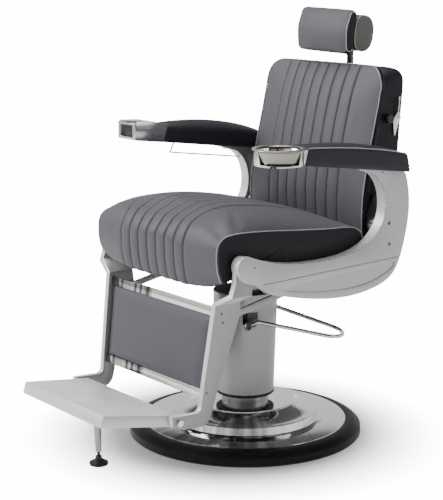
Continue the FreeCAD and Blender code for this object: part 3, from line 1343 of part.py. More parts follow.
PIECES = {
    "floor_ring": floor_ring,
    "base_plate": base_plate,
    "base_cover": base_cover,
    "collar_disc": collar_disc,
    "pump_cylinder": pump_cylinder,
    "cylinder_gland": cylinder_gland,
    "column_cover": column_cover,
    "column_lip": column_lip,
    "guide_bush": guide_bush,
    "lift_ram": lift_ram,
    "column_head": column_head,
    "swivel_spindle": swivel_spindle,
    "lever_shaft": lever_shaft,
    "lever_loop": lever_loop,
    "side_frame_left": side_frame,
    "side_frame_right": lambda: mirrored(side_frame()),
    "leg_pivot_pins": leg_pivot_pins,
    "frame_screws_left": frame_screws,
    "frame_screws_right": lambda: mirrored(frame_screws()),
    "cross_tubes": cross_tubes,
    "seat_carrier": seat_carrier,
    "seat_board": seat_board,
    "seat_cushion": seat_cushion,
    "arm_pad_left": lambda: arm_pad(True),
    "arm_pad_right": lambda: mirrored(arm_pad(False)),
    "arm_cap_left": arm_cap_left,
    "holder_catch": holder_catch,
    "arm_cap_right": arm_cap_right,
    "cap_insert": cap_insert,
    "towel_rail": towel_rail,
    "ash_bowl": ash_bowl,
    "back_cushion": back_cushion,
    "back_shell": back_shell,
    "back_brackets": back_brackets,
    "knob_stud": knob_stud,
    "lock_knob": lock_knob,
    "release_lever": release_lever,
    "headrest_socket": headrest_socket,
    "headrest_post": headrest_post,
    "headrest_pad": headrest_pad,
    "headrest_roll": headrest_roll,
    "headrest_ears": headrest_ears,
    "leg_left": leg,
    "leg_right": lambda: mirrored(leg()),
    "legrest_panel": legrest_panel,
    "rest_bar_top": lambda: rest_bar(401.0, 401.0 + BAR_HEIGHT),
    "rest_bar_low": lambda: rest_bar(218.0 - BAR_HEIGHT, 218.0),
    "link_front_pins": link_front_pins,
    "link_bars": link_bars,
    "footrest_plate": footrest_plate,
    "foot_hinge_pins": foot_hinge_pins,
    "stay_tube": stay_tube,
    "stay_stem": stay_stem,
    "stay_foot": stay_foot,
}

os.makedirs("parts", exist_ok=True)
for node, make in PIECES.items():
    shape = make()
    shape.exportStep(os.path.join("parts", node + ".step"))
    print(node, shape.ShapeType, len(shape.Solids), shape.isValid(), round(shape.Volume / 1000, 1), "cm3")
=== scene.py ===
import logging
import math
from collections.abc import Callable, Sequence
from dataclasses import dataclass, field, replace
from enum import Enum

import bmesh
import bpy
import numpy as np
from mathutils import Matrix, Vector
from mathutils.bvhtree import BVHTree


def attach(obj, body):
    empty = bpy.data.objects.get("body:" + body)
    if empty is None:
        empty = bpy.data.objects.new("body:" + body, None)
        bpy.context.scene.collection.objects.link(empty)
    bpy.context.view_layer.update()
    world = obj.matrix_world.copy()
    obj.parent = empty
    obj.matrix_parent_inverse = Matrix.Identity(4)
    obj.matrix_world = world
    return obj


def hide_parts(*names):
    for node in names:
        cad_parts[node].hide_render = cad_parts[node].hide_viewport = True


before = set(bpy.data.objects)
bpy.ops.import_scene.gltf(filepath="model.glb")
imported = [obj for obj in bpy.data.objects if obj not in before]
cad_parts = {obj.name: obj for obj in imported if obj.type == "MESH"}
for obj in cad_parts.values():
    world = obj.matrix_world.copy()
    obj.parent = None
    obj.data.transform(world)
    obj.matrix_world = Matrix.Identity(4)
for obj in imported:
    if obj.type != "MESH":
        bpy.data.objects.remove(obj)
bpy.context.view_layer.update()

log = logging.getLogger("barber_chair")

MM = 0.001
Pair = tuple[float, float]
Point = tuple[float, float, float]


class Sock:
    """A shader socket that Python's operators act on."""

    def __init__(self, graph: "Graph", socket: bpy.types.NodeSocket) -> None:
        """Keeps the socket and the graph it belongs to."""
        self.graph = graph
        self.socket = socket

    def maths(self, operation: str, first: "Sock | float", second: "Sock | float") -> "Sock":
        """Adds one Math node.

        Args:
            operation: The node's operation, such as ADD.
            first: Its first value or link.
            second: Its second value or link.

        Returns:
            The node's output.
        """
        node = self.graph.node("ShaderNodeMath", {"operation": operation}, {0: first, 1: second})
        return Sock(self.graph, node.outputs[0])

    def __add__(self, other: "Sock | float") -> "Sock":
        """Sum."""
        return self.maths("ADD", self, other)

    def __sub__(self, other: "Sock | float") -> "Sock":
        """Difference."""
        return self.maths("SUBTRACT", self, other)

    def __rsub__(self, other: "Sock | float") -> "Sock":
        """Difference from a number."""
        return self.maths("SUBTRACT", other, self)

    def __mul__(self, other: "Sock | float") -> "Sock":
        """Product."""
        return self.maths("MULTIPLY", self, other)

    def __truediv__(self, other: "Sock | float") -> "Sock":
        """Quotient."""
        return self.maths("DIVIDE", self, other)

    def root(self) -> "Sock":
        """Square root."""
        return self.maths("SQRT", self, 0.0)

    def within(self, low: float, high: float) -> "Sock":
        """The value, kept between two limits."""
        return self.maths("MINIMUM", self.maths("MAXIMUM", self, low), high)

    __radd__ = __add__
    __rmul__ = __mul__


class Graph:
    """A node tree under construction."""

    def __init__(self, tree: bpy.types.NodeTree) -> None:
        """Keeps the tree."""
        self.tree = tree

    def node(self, kind: str, settings: dict | None = None, values: dict | None = None) -> bpy.types.Node:
        """Adds a node.

        Args:
            kind: The node's type name.
            settings: Its own settings, set first.
            values: Numbers, colours or links for its input sockets, by name or place.

        Returns:
            The new node.
        """
        node = self.tree.nodes.new(kind)
        for name, value in (settings or {}).items():
            setattr(node, name, value)
        for name, value in (values or {}).items():
            self.feed(node.inputs[name], value)
        return node

    @classmethod
    def cleared(cls, owner: bpy.types.Material | bpy.types.World) -> "Graph":
        """The emptied tree of a material or world.

        Args:
            owner: The material or world.

        Returns:
            The graph, ready for its nodes.
        """
        owner.use_nodes = True
        owner.node_tree.nodes.clear()
        return cls(owner.node_tree)

    def axes(self, where: bpy.types.NodeSocket) -> tuple["Sock", ...]:
        """A place's X, Y and Z."""
        parts = self.node("ShaderNodeSeparateXYZ", None, {"Vector": where})
        return tuple(Sock(self, parts.outputs[axis]) for axis in "XYZ")

    def blend(self, factor: "Sock", first: object, second: object) -> bpy.types.NodeSocket:
        """Mixes two colours.

        Args:
            factor: The second colour's share.
            first: The first colour or link.
            second: The second colour or link.

        Returns:
            The mixed colour.
        """
        mix = self.node("ShaderNodeMix", {"data_type": "RGBA"}, {"Factor": factor, "A": first, "B": second})
        return mix.outputs["Result"]

    def grey(self, level: "Sock") -> bpy.types.NodeSocket:
        """The grey of a level."""
        return self.node("ShaderNodeCombineColor", None, {"Red": level, "Green": level, "Blue": level}).outputs[0]

    def seen(self) -> "Sock":
        """1 for what the camera looks at, 0 for light on its way round."""
        return Sock(self, self.node("ShaderNodeLightPath").outputs["Is Camera Ray"])

    def feed(self, socket: bpy.types.NodeSocket, value: object) -> None:
        """Sets a socket to a value, or links it.

        Args:
            socket: The input socket.
            value: A number, a colour or a link.
        """
        if isinstance(value, Sock):
            self.tree.links.new(value.socket, socket)
        elif isinstance(value, bpy.types.NodeSocket):
            self.tree.links.new(value, socket)
        else:
            socket.default_value = value


class Grain(Enum):
    """The small surface pattern of a finish."""

    PLAIN = "plain"
    LEATHER = "leather"
    CAST = "cast"
    BRUSHED = "brushed"
    RUBBER = "rubber"
    PEBBLE = "pebble"
    PLY = "ply"
    RIDGES = "ridges"
    SEAMS_AND_PAINTED_REFLECTION = "seams"
    STREAKS = "streaks"


@dataclass(frozen=True)
class Finish:
    """One finish: its colour, gloss and surface grain."""

    name: str
    slot: str
    color: Point
    roughness: float
    metallic: float = 0.0
    grain: Grain = Grain.PLAIN
    grain_scale: float = 600.0
    grain_depth: float = 0.0002
    mottle: float = 0.06
    coat: float = 0.0
    stretch: Point = (1.0, 1.0, 1.0)
    specular: float = 0.5

    def height(self, graph: Graph, where: bpy.types.NodeSocket) -> Sock:
        """The relief of the grain.

        Args:
            graph: The material's tree.
            where: Object coordinates.

        Returns:
            A value from about 0 to 1 over the surface.
        """
        if self.grain is Grain.RIDGES:
            reach = self.reach(graph, where)
            return reach.maths("SINE", reach * self.grain_scale, 0.0) * 0.5 + 0.5
        placed = graph.node("ShaderNodeMapping", None, {"Vector": where, "Scale": self.stretch}).outputs[0]
        noise = graph.node("ShaderNodeTexNoise", None,
                           {"Vector": placed, "Scale": self.grain_scale, "Detail": 3.0, "Roughness": 0.6})
        relief = Sock(graph, noise.outputs[0])
        if self.grain in (Grain.LEATHER, Grain.PEBBLE):
            cells = graph.node("ShaderNodeTexVoronoi", None, {"Vector": placed, "Scale": self.grain_scale})
            relief = relief * 0.35 + Sock(graph, cells.outputs["Distance"]) * 0.8
        return relief

    def reach(self, graph: Graph, where: bpy.types.NodeSocket) -> Sock:
        """The distance from the chair's upright axis, in metres."""
        x, y, _ = graph.axes(where)
        return (x * x + y * y).root()

    def seams(self, graph: Graph, where: bpy.types.NodeSocket) -> Sock:
        """Thin straight joints of a round cover, beside its neck.

        Args:
            graph: The material's tree.
            where: Object coordinates.

        Returns:
            1 on a joint, 0 beside it.
        """
        x, y, _ = graph.axes(where)
        total: Sock | None = None
        for degrees in SEAM_TURNS:
            turn = math.radians(degrees)
            off = x * math.sin(turn) - y * math.cos(turn) + SEAM_OFFSET * MM
            along = x * math.cos(turn) + y * math.sin(turn)
            near = off.maths("LESS_THAN", off.maths("ABSOLUTE", off, 0.0), SEAM_HALF * MM)
            line = near * along.maths("GREATER_THAN", along, SEAM_FROM * MM)
            total = line if total is None else total + line
        return total

    def streaks(self, graph: Graph, where: bpy.types.NodeSocket) -> Sock:
        """Dark upright bands over a bar's right part.

        Args:
            graph: The material's tree.
            where: Object coordinates.

        Returns:
            1 in a band, 0 beside it.
        """
        x = graph.axes(where)[0]
        line = graph.node("ShaderNodeCombineXYZ", None, {"X": x})
        bands = graph.node("ShaderNodeTexNoise", None,
                           {"Vector": line.outputs[0], "Scale": STREAK_SCALE, "Detail": 1.0})
        share = ((Sock(graph, bands.outputs[0]) - STREAK_FROM) * STREAK_STEEP).within(STREAK_LEAST, 1.0)
        return share * x.maths("LESS_THAN", x, STREAK_END * MM)

    def painted_reflection(self, graph: Graph, where: bpy.types.NodeSocket) -> Sock:
        """Painted reflection: dark bands painted round the front of a polished cover, standing in for the dark studio
        it mirrors.

        Args:
            graph: The material's tree.
            where: Object coordinates.

        Returns:
            1 in a band, 0 behind and beside it.
        """
        x, y, _ = graph.axes(where)
        reach = self.reach(graph, where) + MM
        x, y = x / reach, y / reach
        front = ((x * SWEEP_AHEAD[0] + y * SWEEP_AHEAD[1] - SWEEP_FROM) * SWEEP_STEEP).within(0.0, 1.0)
        around = graph.node("ShaderNodeCombineXYZ", None, {"X": x, "Y": y})
        bands = graph.node("ShaderNodeTexNoise", None,
                           {"Vector": around.outputs[0], "Scale": SWEEP_SCALE, "Detail": 1.0})
        share = (Sock(graph, bands.outputs[0]) - SWEEP_LOW) * SWEEP_RISE
        return front * share.within(SWEEP_LEAST, 1.0)

    def build(self) -> bpy.types.Material:
        """Makes the material.

        Returns:
            The new material.
        """
        material = bpy.data.materials.new(self.name)
        graph = Graph.cleared(material)
        plain = (*self.color, 1.0)
        shader = graph.node("ShaderNodeBsdfPrincipled", None,
                            {"Metallic": self.metallic, "Roughness": self.roughness, "Coat Weight": self.coat,
                             "Coat Roughness": 0.25, "Specular IOR Level": self.specular, "Base Color": plain})
        graph.node("ShaderNodeOutputMaterial", None, {"Surface": shader.outputs[0]})
        if self.grain is Grain.PLAIN:
            return material
        where = graph.node("ShaderNodeTexCoord").outputs["Object"]
        if self.grain is Grain.SEAMS_AND_PAINTED_REFLECTION:
            # Painted reflection bands first, then the cover's joints over them.
            with_painted_reflection = graph.blend(self.painted_reflection(graph, where), plain, PAINTED_REFLECTION_DARK)
            graph.feed(shader.inputs["Base Color"], graph.blend(self.seams(graph, where), with_painted_reflection, SEAM_DARK))
            return material
        if self.grain is Grain.STREAKS:
            graph.feed(shader.inputs["Base Color"], graph.blend(self.streaks(graph, where), plain, STREAK_DARK))
            return material
        relief = self.height(graph, where)
        patch = graph.node("ShaderNodeTexNoise", None, {"Vector": where, "Scale": PATCH_SCALE, "Detail": 2.0})
        shade = Sock(graph, patch.outputs[0]) * PATCH_SHARE + relief * (1.0 - PATCH_SHARE)
        low = tuple(channel * (1.0 - self.mottle) for channel in self.color)
        high = tuple(min(1.0, channel * (1.0 + self.mottle)) for channel in self.color)
        graph.feed(shader.inputs["Base Color"], graph.blend(shade, (*low, 1.0), (*high, 1.0)))
        graph.feed(shader.inputs["Roughness"], shade * (self.roughness * 0.3) + self.roughness * 0.85)
        bump = graph.node("ShaderNodeBump", None, {"Strength": 1.0, "Distance": self.grain_depth, "Height": relief})
        graph.feed(shader.inputs["Normal"], bump.outputs[0])
        return material


# Patches of random tone, and marks on bright metal: a painted reflection, joints and dark bands. Lengths in
# millimetres, turns in degrees.
PATCH_SCALE, PATCH_SHARE = 9.0, 0.6
# Painted reflection round the base cover's front: its direction, reach, bands and dark colour.
SWEEP_AHEAD = (0.5, -0.87)
SWEEP_FROM, SWEEP_STEEP, SWEEP_SCALE = 0.55, 3.2, 9.0
SWEEP_LOW, SWEEP_RISE, SWEEP_LEAST = 0.3, 2.2, 0.1
PAINTED_REFLECTION_DARK = (0.22, 0.215, 0.205, 1.0)
SEAM_TURNS = (-24.0, 156.0)
SEAM_OFFSET, SEAM_HALF, SEAM_FROM = 118.0, 0.6, 20.0
SEAM_DARK = (0.12, 0.12, 0.12, 1.0)
STREAK_SCALE, STREAK_FROM, STREAK_STEEP, STREAK_LEAST, STREAK_END = 42.0, 0.36, 5.0, 0.5, -38.0
STREAK_DARK = (0.07, 0.06, 0.055, 1.0)

GREY_LEATHER = Finish("slate_leather", "grey_vinyl", (0.084, 0.085, 0.0965), 0.5, grain=Grain.LEATHER,
                      grain_scale=700.0, grain_depth=0.0001, specular=0.35)
BLACK_LEATHER = Finish("black_leather", "black_vinyl", (0.015, 0.015, 0.02), 0.46, grain=Grain.LEATHER,
                       grain_scale=700.0, grain_depth=0.0001, specular=0.22)
OLIVE_LEATHER = Finish("olive_leather", "olive_vinyl", (0.14, 0.142, 0.13), 0.55, grain=Grain.LEATHER,
                       grain_scale=420.0, grain_depth=0.0002, mottle=0.16, specular=0.35)
PIPING = Finish("silver_piping", "grey_vinyl", (0.42, 0.42, 0.43), 0.35, 0.2)
CAST = Finish("cast_silver", "cast_silver", (0.55, 0.55, 0.56), 0.4, 0.6, Grain.BRUSHED, 260.0, 0.00006, 0.16,
              stretch=(1.0, 1.0, 0.08))
# Brighter cast silver for faces beside the flat sides: polished rims, and painted highlight on the eased edges.
RIM_CAST_AND_HIGHLIGHT = Finish("bright_rim_and_painted_highlight", "cast_silver", (0.74, 0.74, 0.72), 0.4, 0.35, Grain.CAST, 500.0, 0.00003, 0.04)
SMOOTH_CAST = Finish("leg_silver", "cast_silver", (0.35, 0.35, 0.345), 0.4, 0.6, Grain.CAST, 400.0, 0.00006, 0.12)
PEBBLED = Finish("pebbled_silver", "cast_silver", (0.9, 0.91, 0.905), 0.42, 0.2, Grain.PEBBLE, 130.0, 0.0018, 0.5)
COLUMN = Finish("satin_column", "satin_column", (0.36, 0.36, 0.35), 0.4, 0.65, Grain.CAST, 900.0, 0.00003, 0.03)
CHROME = Finish("bright_chrome", "bright_chrome", (0.78, 0.78, 0.78), 0.07, 1.0)
# The base cover: bright chrome with its joints and a painted reflection round its front.
COVER_CHROME = Finish("cover_chrome", "bright_chrome", (0.75, 0.755, 0.77), 0.1, 1.0, Grain.SEAMS_AND_PAINTED_REFLECTION)
SATIN_STEEL = Finish("ground_steel", "steel", (0.33, 0.33, 0.33), 0.3, 1.0, Grain.BRUSHED, 300.0, 0.00003, 0.3,
                     stretch=(1.0, 1.0, 0.02))
BOWL_METAL = Finish("bowl_metal", "bright_chrome", (0.36, 0.335, 0.305), 0.27, 1.0)
RUBBER = Finish("black_rubber", "black_rubber", (0.004, 0.004, 0.004), 0.5, grain=Grain.RUBBER, grain_scale=500.0,
                grain_depth=0.00005, specular=0.35)
RIDGED_RUBBER = Finish("ridged_rubber", "black_rubber", (0.004, 0.004, 0.004), 0.45, grain=Grain.RIDGES,
                       grain_scale=1900.0, grain_depth=0.00035, specular=0.2)
PLASTIC = Finish("black_plastic", "black_plastic", (0.01, 0.01, 0.011), 0.35)
IRON = Finish("base_iron", "base_casting", (0.02, 0.02, 0.02), 0.55, grain=Grain.CAST)
PLY = Finish("plain_ply", "board", (0.1, 0.085, 0.07), 0.7, grain=Grain.PLY, grain_scale=60.0,
             stretch=(1.0, 8.0, 1.0))
DARK_STEEL = Finish("dark_steel", "steel", (0.12, 0.12, 0.12), 0.35, 1.0)
CAP_CHROME = Finish("cap_chrome", "bright_chrome", (0.72, 0.72, 0.72), 0.18, 1.0)
# Painted shade: near-black for the side frames' groove walls, where shade falls; the boss faces inside the frame take
# it too.
GROOVE_SHADE = Finish("groove_shade", "cast_silver", (0.05, 0.05, 0.05), 0.6, 0.3)
BAR_CHROME = Finish("bar_chrome", "bright_chrome", (0.74, 0.73, 0.71), 0.14, 1.0, Grain.STREAKS)
PROP_STEEL = Finish("prop_steel", "bright_chrome", (0.36, 0.36, 0.37), 0.3, 1.0)
ARM_LEATHER = replace(BLACK_LEATHER, name="arm_leather", color=(0.028, 0.028, 0.036))
KNOB_PLASTIC = Finish("knob_plastic", "black_plastic", (0.008, 0.008, 0.009), 0.12, specular=0.8)


class Paint:
    """Makes each finish's material once."""

    made: dict[str, bpy.types.Material] = {}

    @classmethod
    def of(cls, finish: Finish) -> bpy.types.Material:
        """The material of a finish.

        Args:
            finish: The finish.

        Returns:
            Its one material.
        """
        if finish.name not in cls.made:
            cls.made[finish.name] = finish.build()
        return cls.made[finish.name]


def new_piece(name: str, mesh: bpy.types.Mesh, finishes: Sequence[Finish]) -> bpy.types.Object:
    """Puts a mesh into the scene with its finishes.

    Args:
        name: The piece's name.
        mesh: Its mesh, in metres and in place.
        finishes: One finish for each material index.

    Returns:
        The new object.
    """
    mesh.materials.clear()
    for finish in finishes:
        mesh.materials.append(Paint.of(finish))
    piece = bpy.data.objects.new(name, mesh)
    bpy.context.scene.collection.objects.link(piece)
    return piece


def place(piece: bpy.types.Object, body: str, slot: str, *nodes: str) -> bpy.types.Object:
    """Says what a piece moves with and which CAD nodes it stands for.

    Args:
        piece: The finished piece.
        body: The CAD body it rides on.
        slot: Its finish slot; not used.
        nodes: The CAD nodes it replaces.

    Returns:
        The same piece.
    """
    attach(piece, body)
    if nodes:
        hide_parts(*nodes)
    log.info("%s: %d faces, rides on %s", piece.name, len(piece.data.polygons), body)
    return piece


def baked(piece: bpy.types.Object) -> bpy.types.Mesh:
    """The piece's mesh with its modifiers applied.

    Args:
        piece: The piece with live modifiers.

    Returns:
        A new plain mesh.
    """
    graph = bpy.context.evaluated_depsgraph_get()
    graph.update()
    return bpy.data.meshes.new_from_object(piece.evaluated_get(graph), preserve_all_data_layers=True, depsgraph=graph)


def apply_modifiers(piece: bpy.types.Object) -> None:
    """Turns the piece's modifiers into plain mesh.

    Args:
        piece: The piece with live modifiers.
    """
    mesh = baked(piece)
    piece.modifiers.clear()
    piece.data = mesh


def smooth_by_angle(mesh: bpy.types.Mesh, degrees: float) -> None:
    """Shades the mesh smooth, with sharp edges where it bends by more than an angle.

    Args:
        mesh: The mesh to shade.
        degrees: The angle past which an edge is sharp.
    """
    mesh.shade_smooth()
    work = bmesh.new()
    work.from_mesh(mesh)
    limit = math.radians(degrees)
    for edge in work.edges:
        edge.smooth = len(edge.link_faces) == 2 and edge.calc_face_angle(0.0) < limit
    work.to_mesh(mesh)
    work.free()


# Mesh cleaning and shading. Lengths in millimetres, turns in degrees.
MERGE = 0.02
FLAT_TURN, CORNER_TURN, ROUND_TURN, PAD_TURN = 0.6, 35.0, 40.0, 80.0
LEFT, RIGHT = (1.0, "left"), (-1.0, "right")


@dataclass
class Recast:
    """A CAD node shown again with merged corners, eased edges and a finish."""

    node: str
    body: str
    finish: Finish
    ease: float = 0.0
    ease_steps: int = 2
    pick: Callable[[Vector], bool] | None = None
    sharp: float = 32.0
    # The rim finish goes on faces that don't face along rim_axis: polished rims, and painted highlight on eased
    # edges.
    rim: Finish | None = None
    rim_axis: int = 0
    rim_limit: float = 0.97
    # An optional dark finish for faces that in_dark picks; the side frames use it as painted shade.
    dark: Finish | None = None
    in_dark: Callable[[Vector, Vector], bool] | None = None
    reshape: Callable[[Vector], Vector] | None = None

    def build(self) -> bpy.types.Object:
        """Makes the piece.

        Returns:
            The piece that stands for the node.
        """
        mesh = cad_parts[self.node].data.copy()
        work = bmesh.new()
        work.from_mesh(mesh)
        bmesh.ops.remove_doubles(work, verts=work.verts, dist=MERGE * MM)
        bmesh.ops.dissolve_limit(work, angle_limit=math.radians(FLAT_TURN), verts=work.verts, edges=work.edges)
        if self.ease:
            limit = math.radians(CORNER_TURN)
            edges = [edge for edge in work.edges if edge.calc_face_angle(0.0) > limit and self.wanted(edge)]
            bmesh.ops.bevel(work, geom=edges, offset=self.ease * MM, segments=self.ease_steps, profile=0.5,
                            affect="EDGES", clamp_overlap=True, loop_slide=True)
        bmesh.ops.triangulate(work, faces=[face for face in work.faces if len(face.verts) > 4])
        for vert in work.verts if self.reshape else ():
            vert.co = self.reshape(vert.co)
        work.to_mesh(mesh)
        work.free()
        smooth_by_angle(mesh, self.sharp)
        finishes = [finish for finish in (self.finish, self.rim, self.dark) if finish]
        piece = new_piece(self.node + "_dressed", mesh, finishes)
        for face in mesh.polygons:
            if self.in_dark and self.in_dark(face.center, face.normal):
                face.material_index = finishes.index(self.dark)
            elif self.rim and abs(face.normal[self.rim_axis]) < self.rim_limit:
                face.material_index = finishes.index(self.rim)
        return place(piece, self.body, self.finish.slot, self.node)

    def wanted(self, edge: bmesh.types.BMEdge) -> bool:
        """Whether an edge is one of those to ease."""
        return self.pick is None or all(self.pick(vert.co) for vert in edge.verts)


class Tree:
    """A Geometry Nodes tree that is built once and used for many pieces."""

    title = ""
    start = ""
    sizes: tuple[tuple[str, str], ...] = ()
    made: dict[str, bpy.types.NodeTree] = {}

    def get(self) -> bpy.types.NodeTree:
        """The tree, with its named inputs, ended by Realize Instances and Set Material.

        Returns:
            The node tree.
        """
        if self.title in self.made:
            return self.made[self.title]
        tree = bpy.data.node_groups.new(self.title, "GeometryNodeTree")
        inputs = ((self.start, "Geometry"), *self.sizes, ("Finish", "Material"))
        for name, kind in inputs:
            tree.interface.new_socket(name, in_out="INPUT", socket_type="NodeSocket" + kind)
        tree.interface.new_socket("Geometry", in_out="OUTPUT", socket_type="NodeSocketGeometry")
        graph = Graph(tree)
        given = graph.node("NodeGroupInput").outputs
        real = graph.node("GeometryNodeRealizeInstances", None, {"Geometry": self.shape(graph, given)})
        dressed = graph.node("GeometryNodeSetMaterial", None,
                             {"Geometry": real.outputs[0], "Material": given["Finish"]})
        graph.node("NodeGroupOutput", None, {"Geometry": dressed.outputs[0]})
        self.made[self.title] = tree
        return tree

    def shape(self, graph: Graph, given: bpy.types.NodeOutputs) -> bpy.types.NodeSocket:
        """The tree's own nodes."""
        raise NotImplementedError


class SweepTree(Tree):
    """Sweeps a round section along an edge path."""

    title = "swept_round"
    start = "Path"
    sizes = (("Radius", "Float"), ("Sides", "Int"))

    def shape(self, graph: Graph, given: bpy.types.NodeOutputs) -> bpy.types.NodeSocket:
        """The swept cord.

        Args:
            graph: The tree's graph.
            given: The tree's inputs.

        Returns:
            The cord's geometry.
        """
        curve = graph.node("GeometryNodeMeshToCurve", None, {"Mesh": given["Path"]})
        ring = graph.node("GeometryNodeCurvePrimitiveCircle", None,
                          {"Resolution": given["Sides"], "Radius": given["Radius"]})
        swept = graph.node("GeometryNodeCurveToMesh", None,
                           {"Curve": curve.outputs[0], "Profile Curve": ring.outputs[0], "Fill Caps": True})
        return swept.outputs[0]


class StudTree(Tree):
    """Sets a screw head at each point, facing sideways."""

    title = "screw_heads"
    start = "Points"
    sizes = (("Radius", "Float"), ("Height", "Float"))
    narrowing = 0.72

    def shape(self, graph: Graph, given: bpy.types.NodeOutputs) -> bpy.types.NodeSocket:
        """The screw heads.

        Args:
            graph: The tree's graph.
            given: The tree's inputs.

        Returns:
            The heads' geometry.
        """
        narrow = graph.node("ShaderNodeMath", {"operation": "MULTIPLY"}, {0: given["Radius"], 1: self.narrowing})
        head = graph.node("GeometryNodeMeshCone", None,
                          {"Vertices": 24, "Side Segments": 1, "Fill Segments": 2, "Radius Bottom": given["Radius"],
                           "Radius Top": narrow.outputs[0], "Depth": given["Height"]})
        spread = graph.node("GeometryNodeInstanceOnPoints", None,
                            {"Points": given["Points"], "Instance": head.outputs["Mesh"],
                             "Rotation": (0.0, math.radians(90.0), 0.0)})
        return spread.outputs[0]


def run_tree(name: str, mesh: bpy.types.Mesh, tree: bpy.types.NodeTree, values: dict[str, object],
             finish: Finish) -> bpy.types.Object:
    """Runs a Geometry Nodes tree on a mesh and keeps the result as a plain piece.

    Args:
        name: The piece's name.
        mesh: The tree's input.
        tree: The Geometry Nodes tree.
        values: Its named inputs.
        finish: The finish that the tree sets.

    Returns:
        The finished piece.
    """
    piece = bpy.data.objects.new(name, mesh)
    bpy.context.scene.collection.objects.link(piece)
    modifier = piece.modifiers.new("tree", "NODES")
    modifier.node_group = tree
    values = {**values, "Finish": Paint.of(finish)}
    for item in tree.interface.items_tree:
        if item.in_out == "INPUT" and item.name in values:
            modifier[item.identifier] = values[item.name]
    apply_modifiers(piece)
    smooth_by_angle(piece.data, ROUND_TURN)
    return piece


def piping(name: str, body: str, path: Sequence[Sequence[float]], radius: float, finish: Finish = PIPING,
           closed: bool = False, sides: int = 10) -> bpy.types.Object:
    """A round cord of trim along a path.

    Args:
        name: The piece's name.
        body: The CAD body it rides on.
        path: Points in millimetres.
        radius: The cord's radius in millimetres.
        finish: Its finish.
        closed: Whether the path ends where it starts.
        sides: How many sides its section has.

    Returns:
        The piece.
    """
    points = [Vector(point) * MM for point in path]
    edges = [(i, i + 1) for i in range(len(points) - 1)]
    if closed:
        edges.append((len(points) - 1, 0))
    mesh = bpy.data.meshes.new(name)
    mesh.from_pydata(points, edges, [])
    piece = run_tree(name, mesh, SweepTree().get(), {"Radius": radius * MM, "Sides": sides}, finish)
    return place(piece, body, finish.slot)


def screw_heads(name: str, body: str, points: Sequence[Point], radius: float, height: float,
                finish: Finish) -> bpy.types.Object:
    """Flat screw heads that face sideways, at points in millimetres.

    Args:
        name: The piece's name.
        body: The CAD body they ride on.
        points: Where the heads sit.
        radius: Their radius in millimetres.
        height: Their height in millimetres.
        finish: Their finish.

    Returns:
        The piece.
    """
    mesh = bpy.data.meshes.new(name)
    mesh.from_pydata([Vector(point) * MM for point in points], [], [])
    piece = run_tree(name, mesh, StudTree().get(), {"Radius": radius * MM, "Height": height * MM}, finish)
    return place(piece, body, finish.slot)


def curve_through(stations: Sequence[Sequence[float]], count: int) -> np.ndarray:
    """Points on a smooth curve through stations, evenly spread by their distance.

    Args:
        stations: The points that the curve passes, of any number of values each.
        count: How many points to give.

    Returns:
        An array of count rows.
    """
    given = np.array(stations, float)
    ends = np.vstack([2 * given[0] - given[1], given, 2 * given[-1] - given[-2]])
    steps = np.linalg.norm(np.diff(given[:, :2], axis=0), axis=1)
    reach = np.concatenate([[0.0], np.cumsum(steps)])
    out = []
    for place_on in np.linspace(0.0, reach[-1], count):
        i = min(int(np.searchsorted(reach, place_on, side="right")) - 1, len(given) - 2)
        t = (place_on - reach[i]) / steps[i]
        p0, p1, p2, p3 = ends[i:i + 4]
        out.append(0.5 * (2 * p1 + (p2 - p0) * t + (2 * p0 - 5 * p1 + 4 * p2 - p3) * t ** 2
                          + (3 * p1 - p0 - 3 * p2 + p3) * t ** 3))
    return np.array(out)


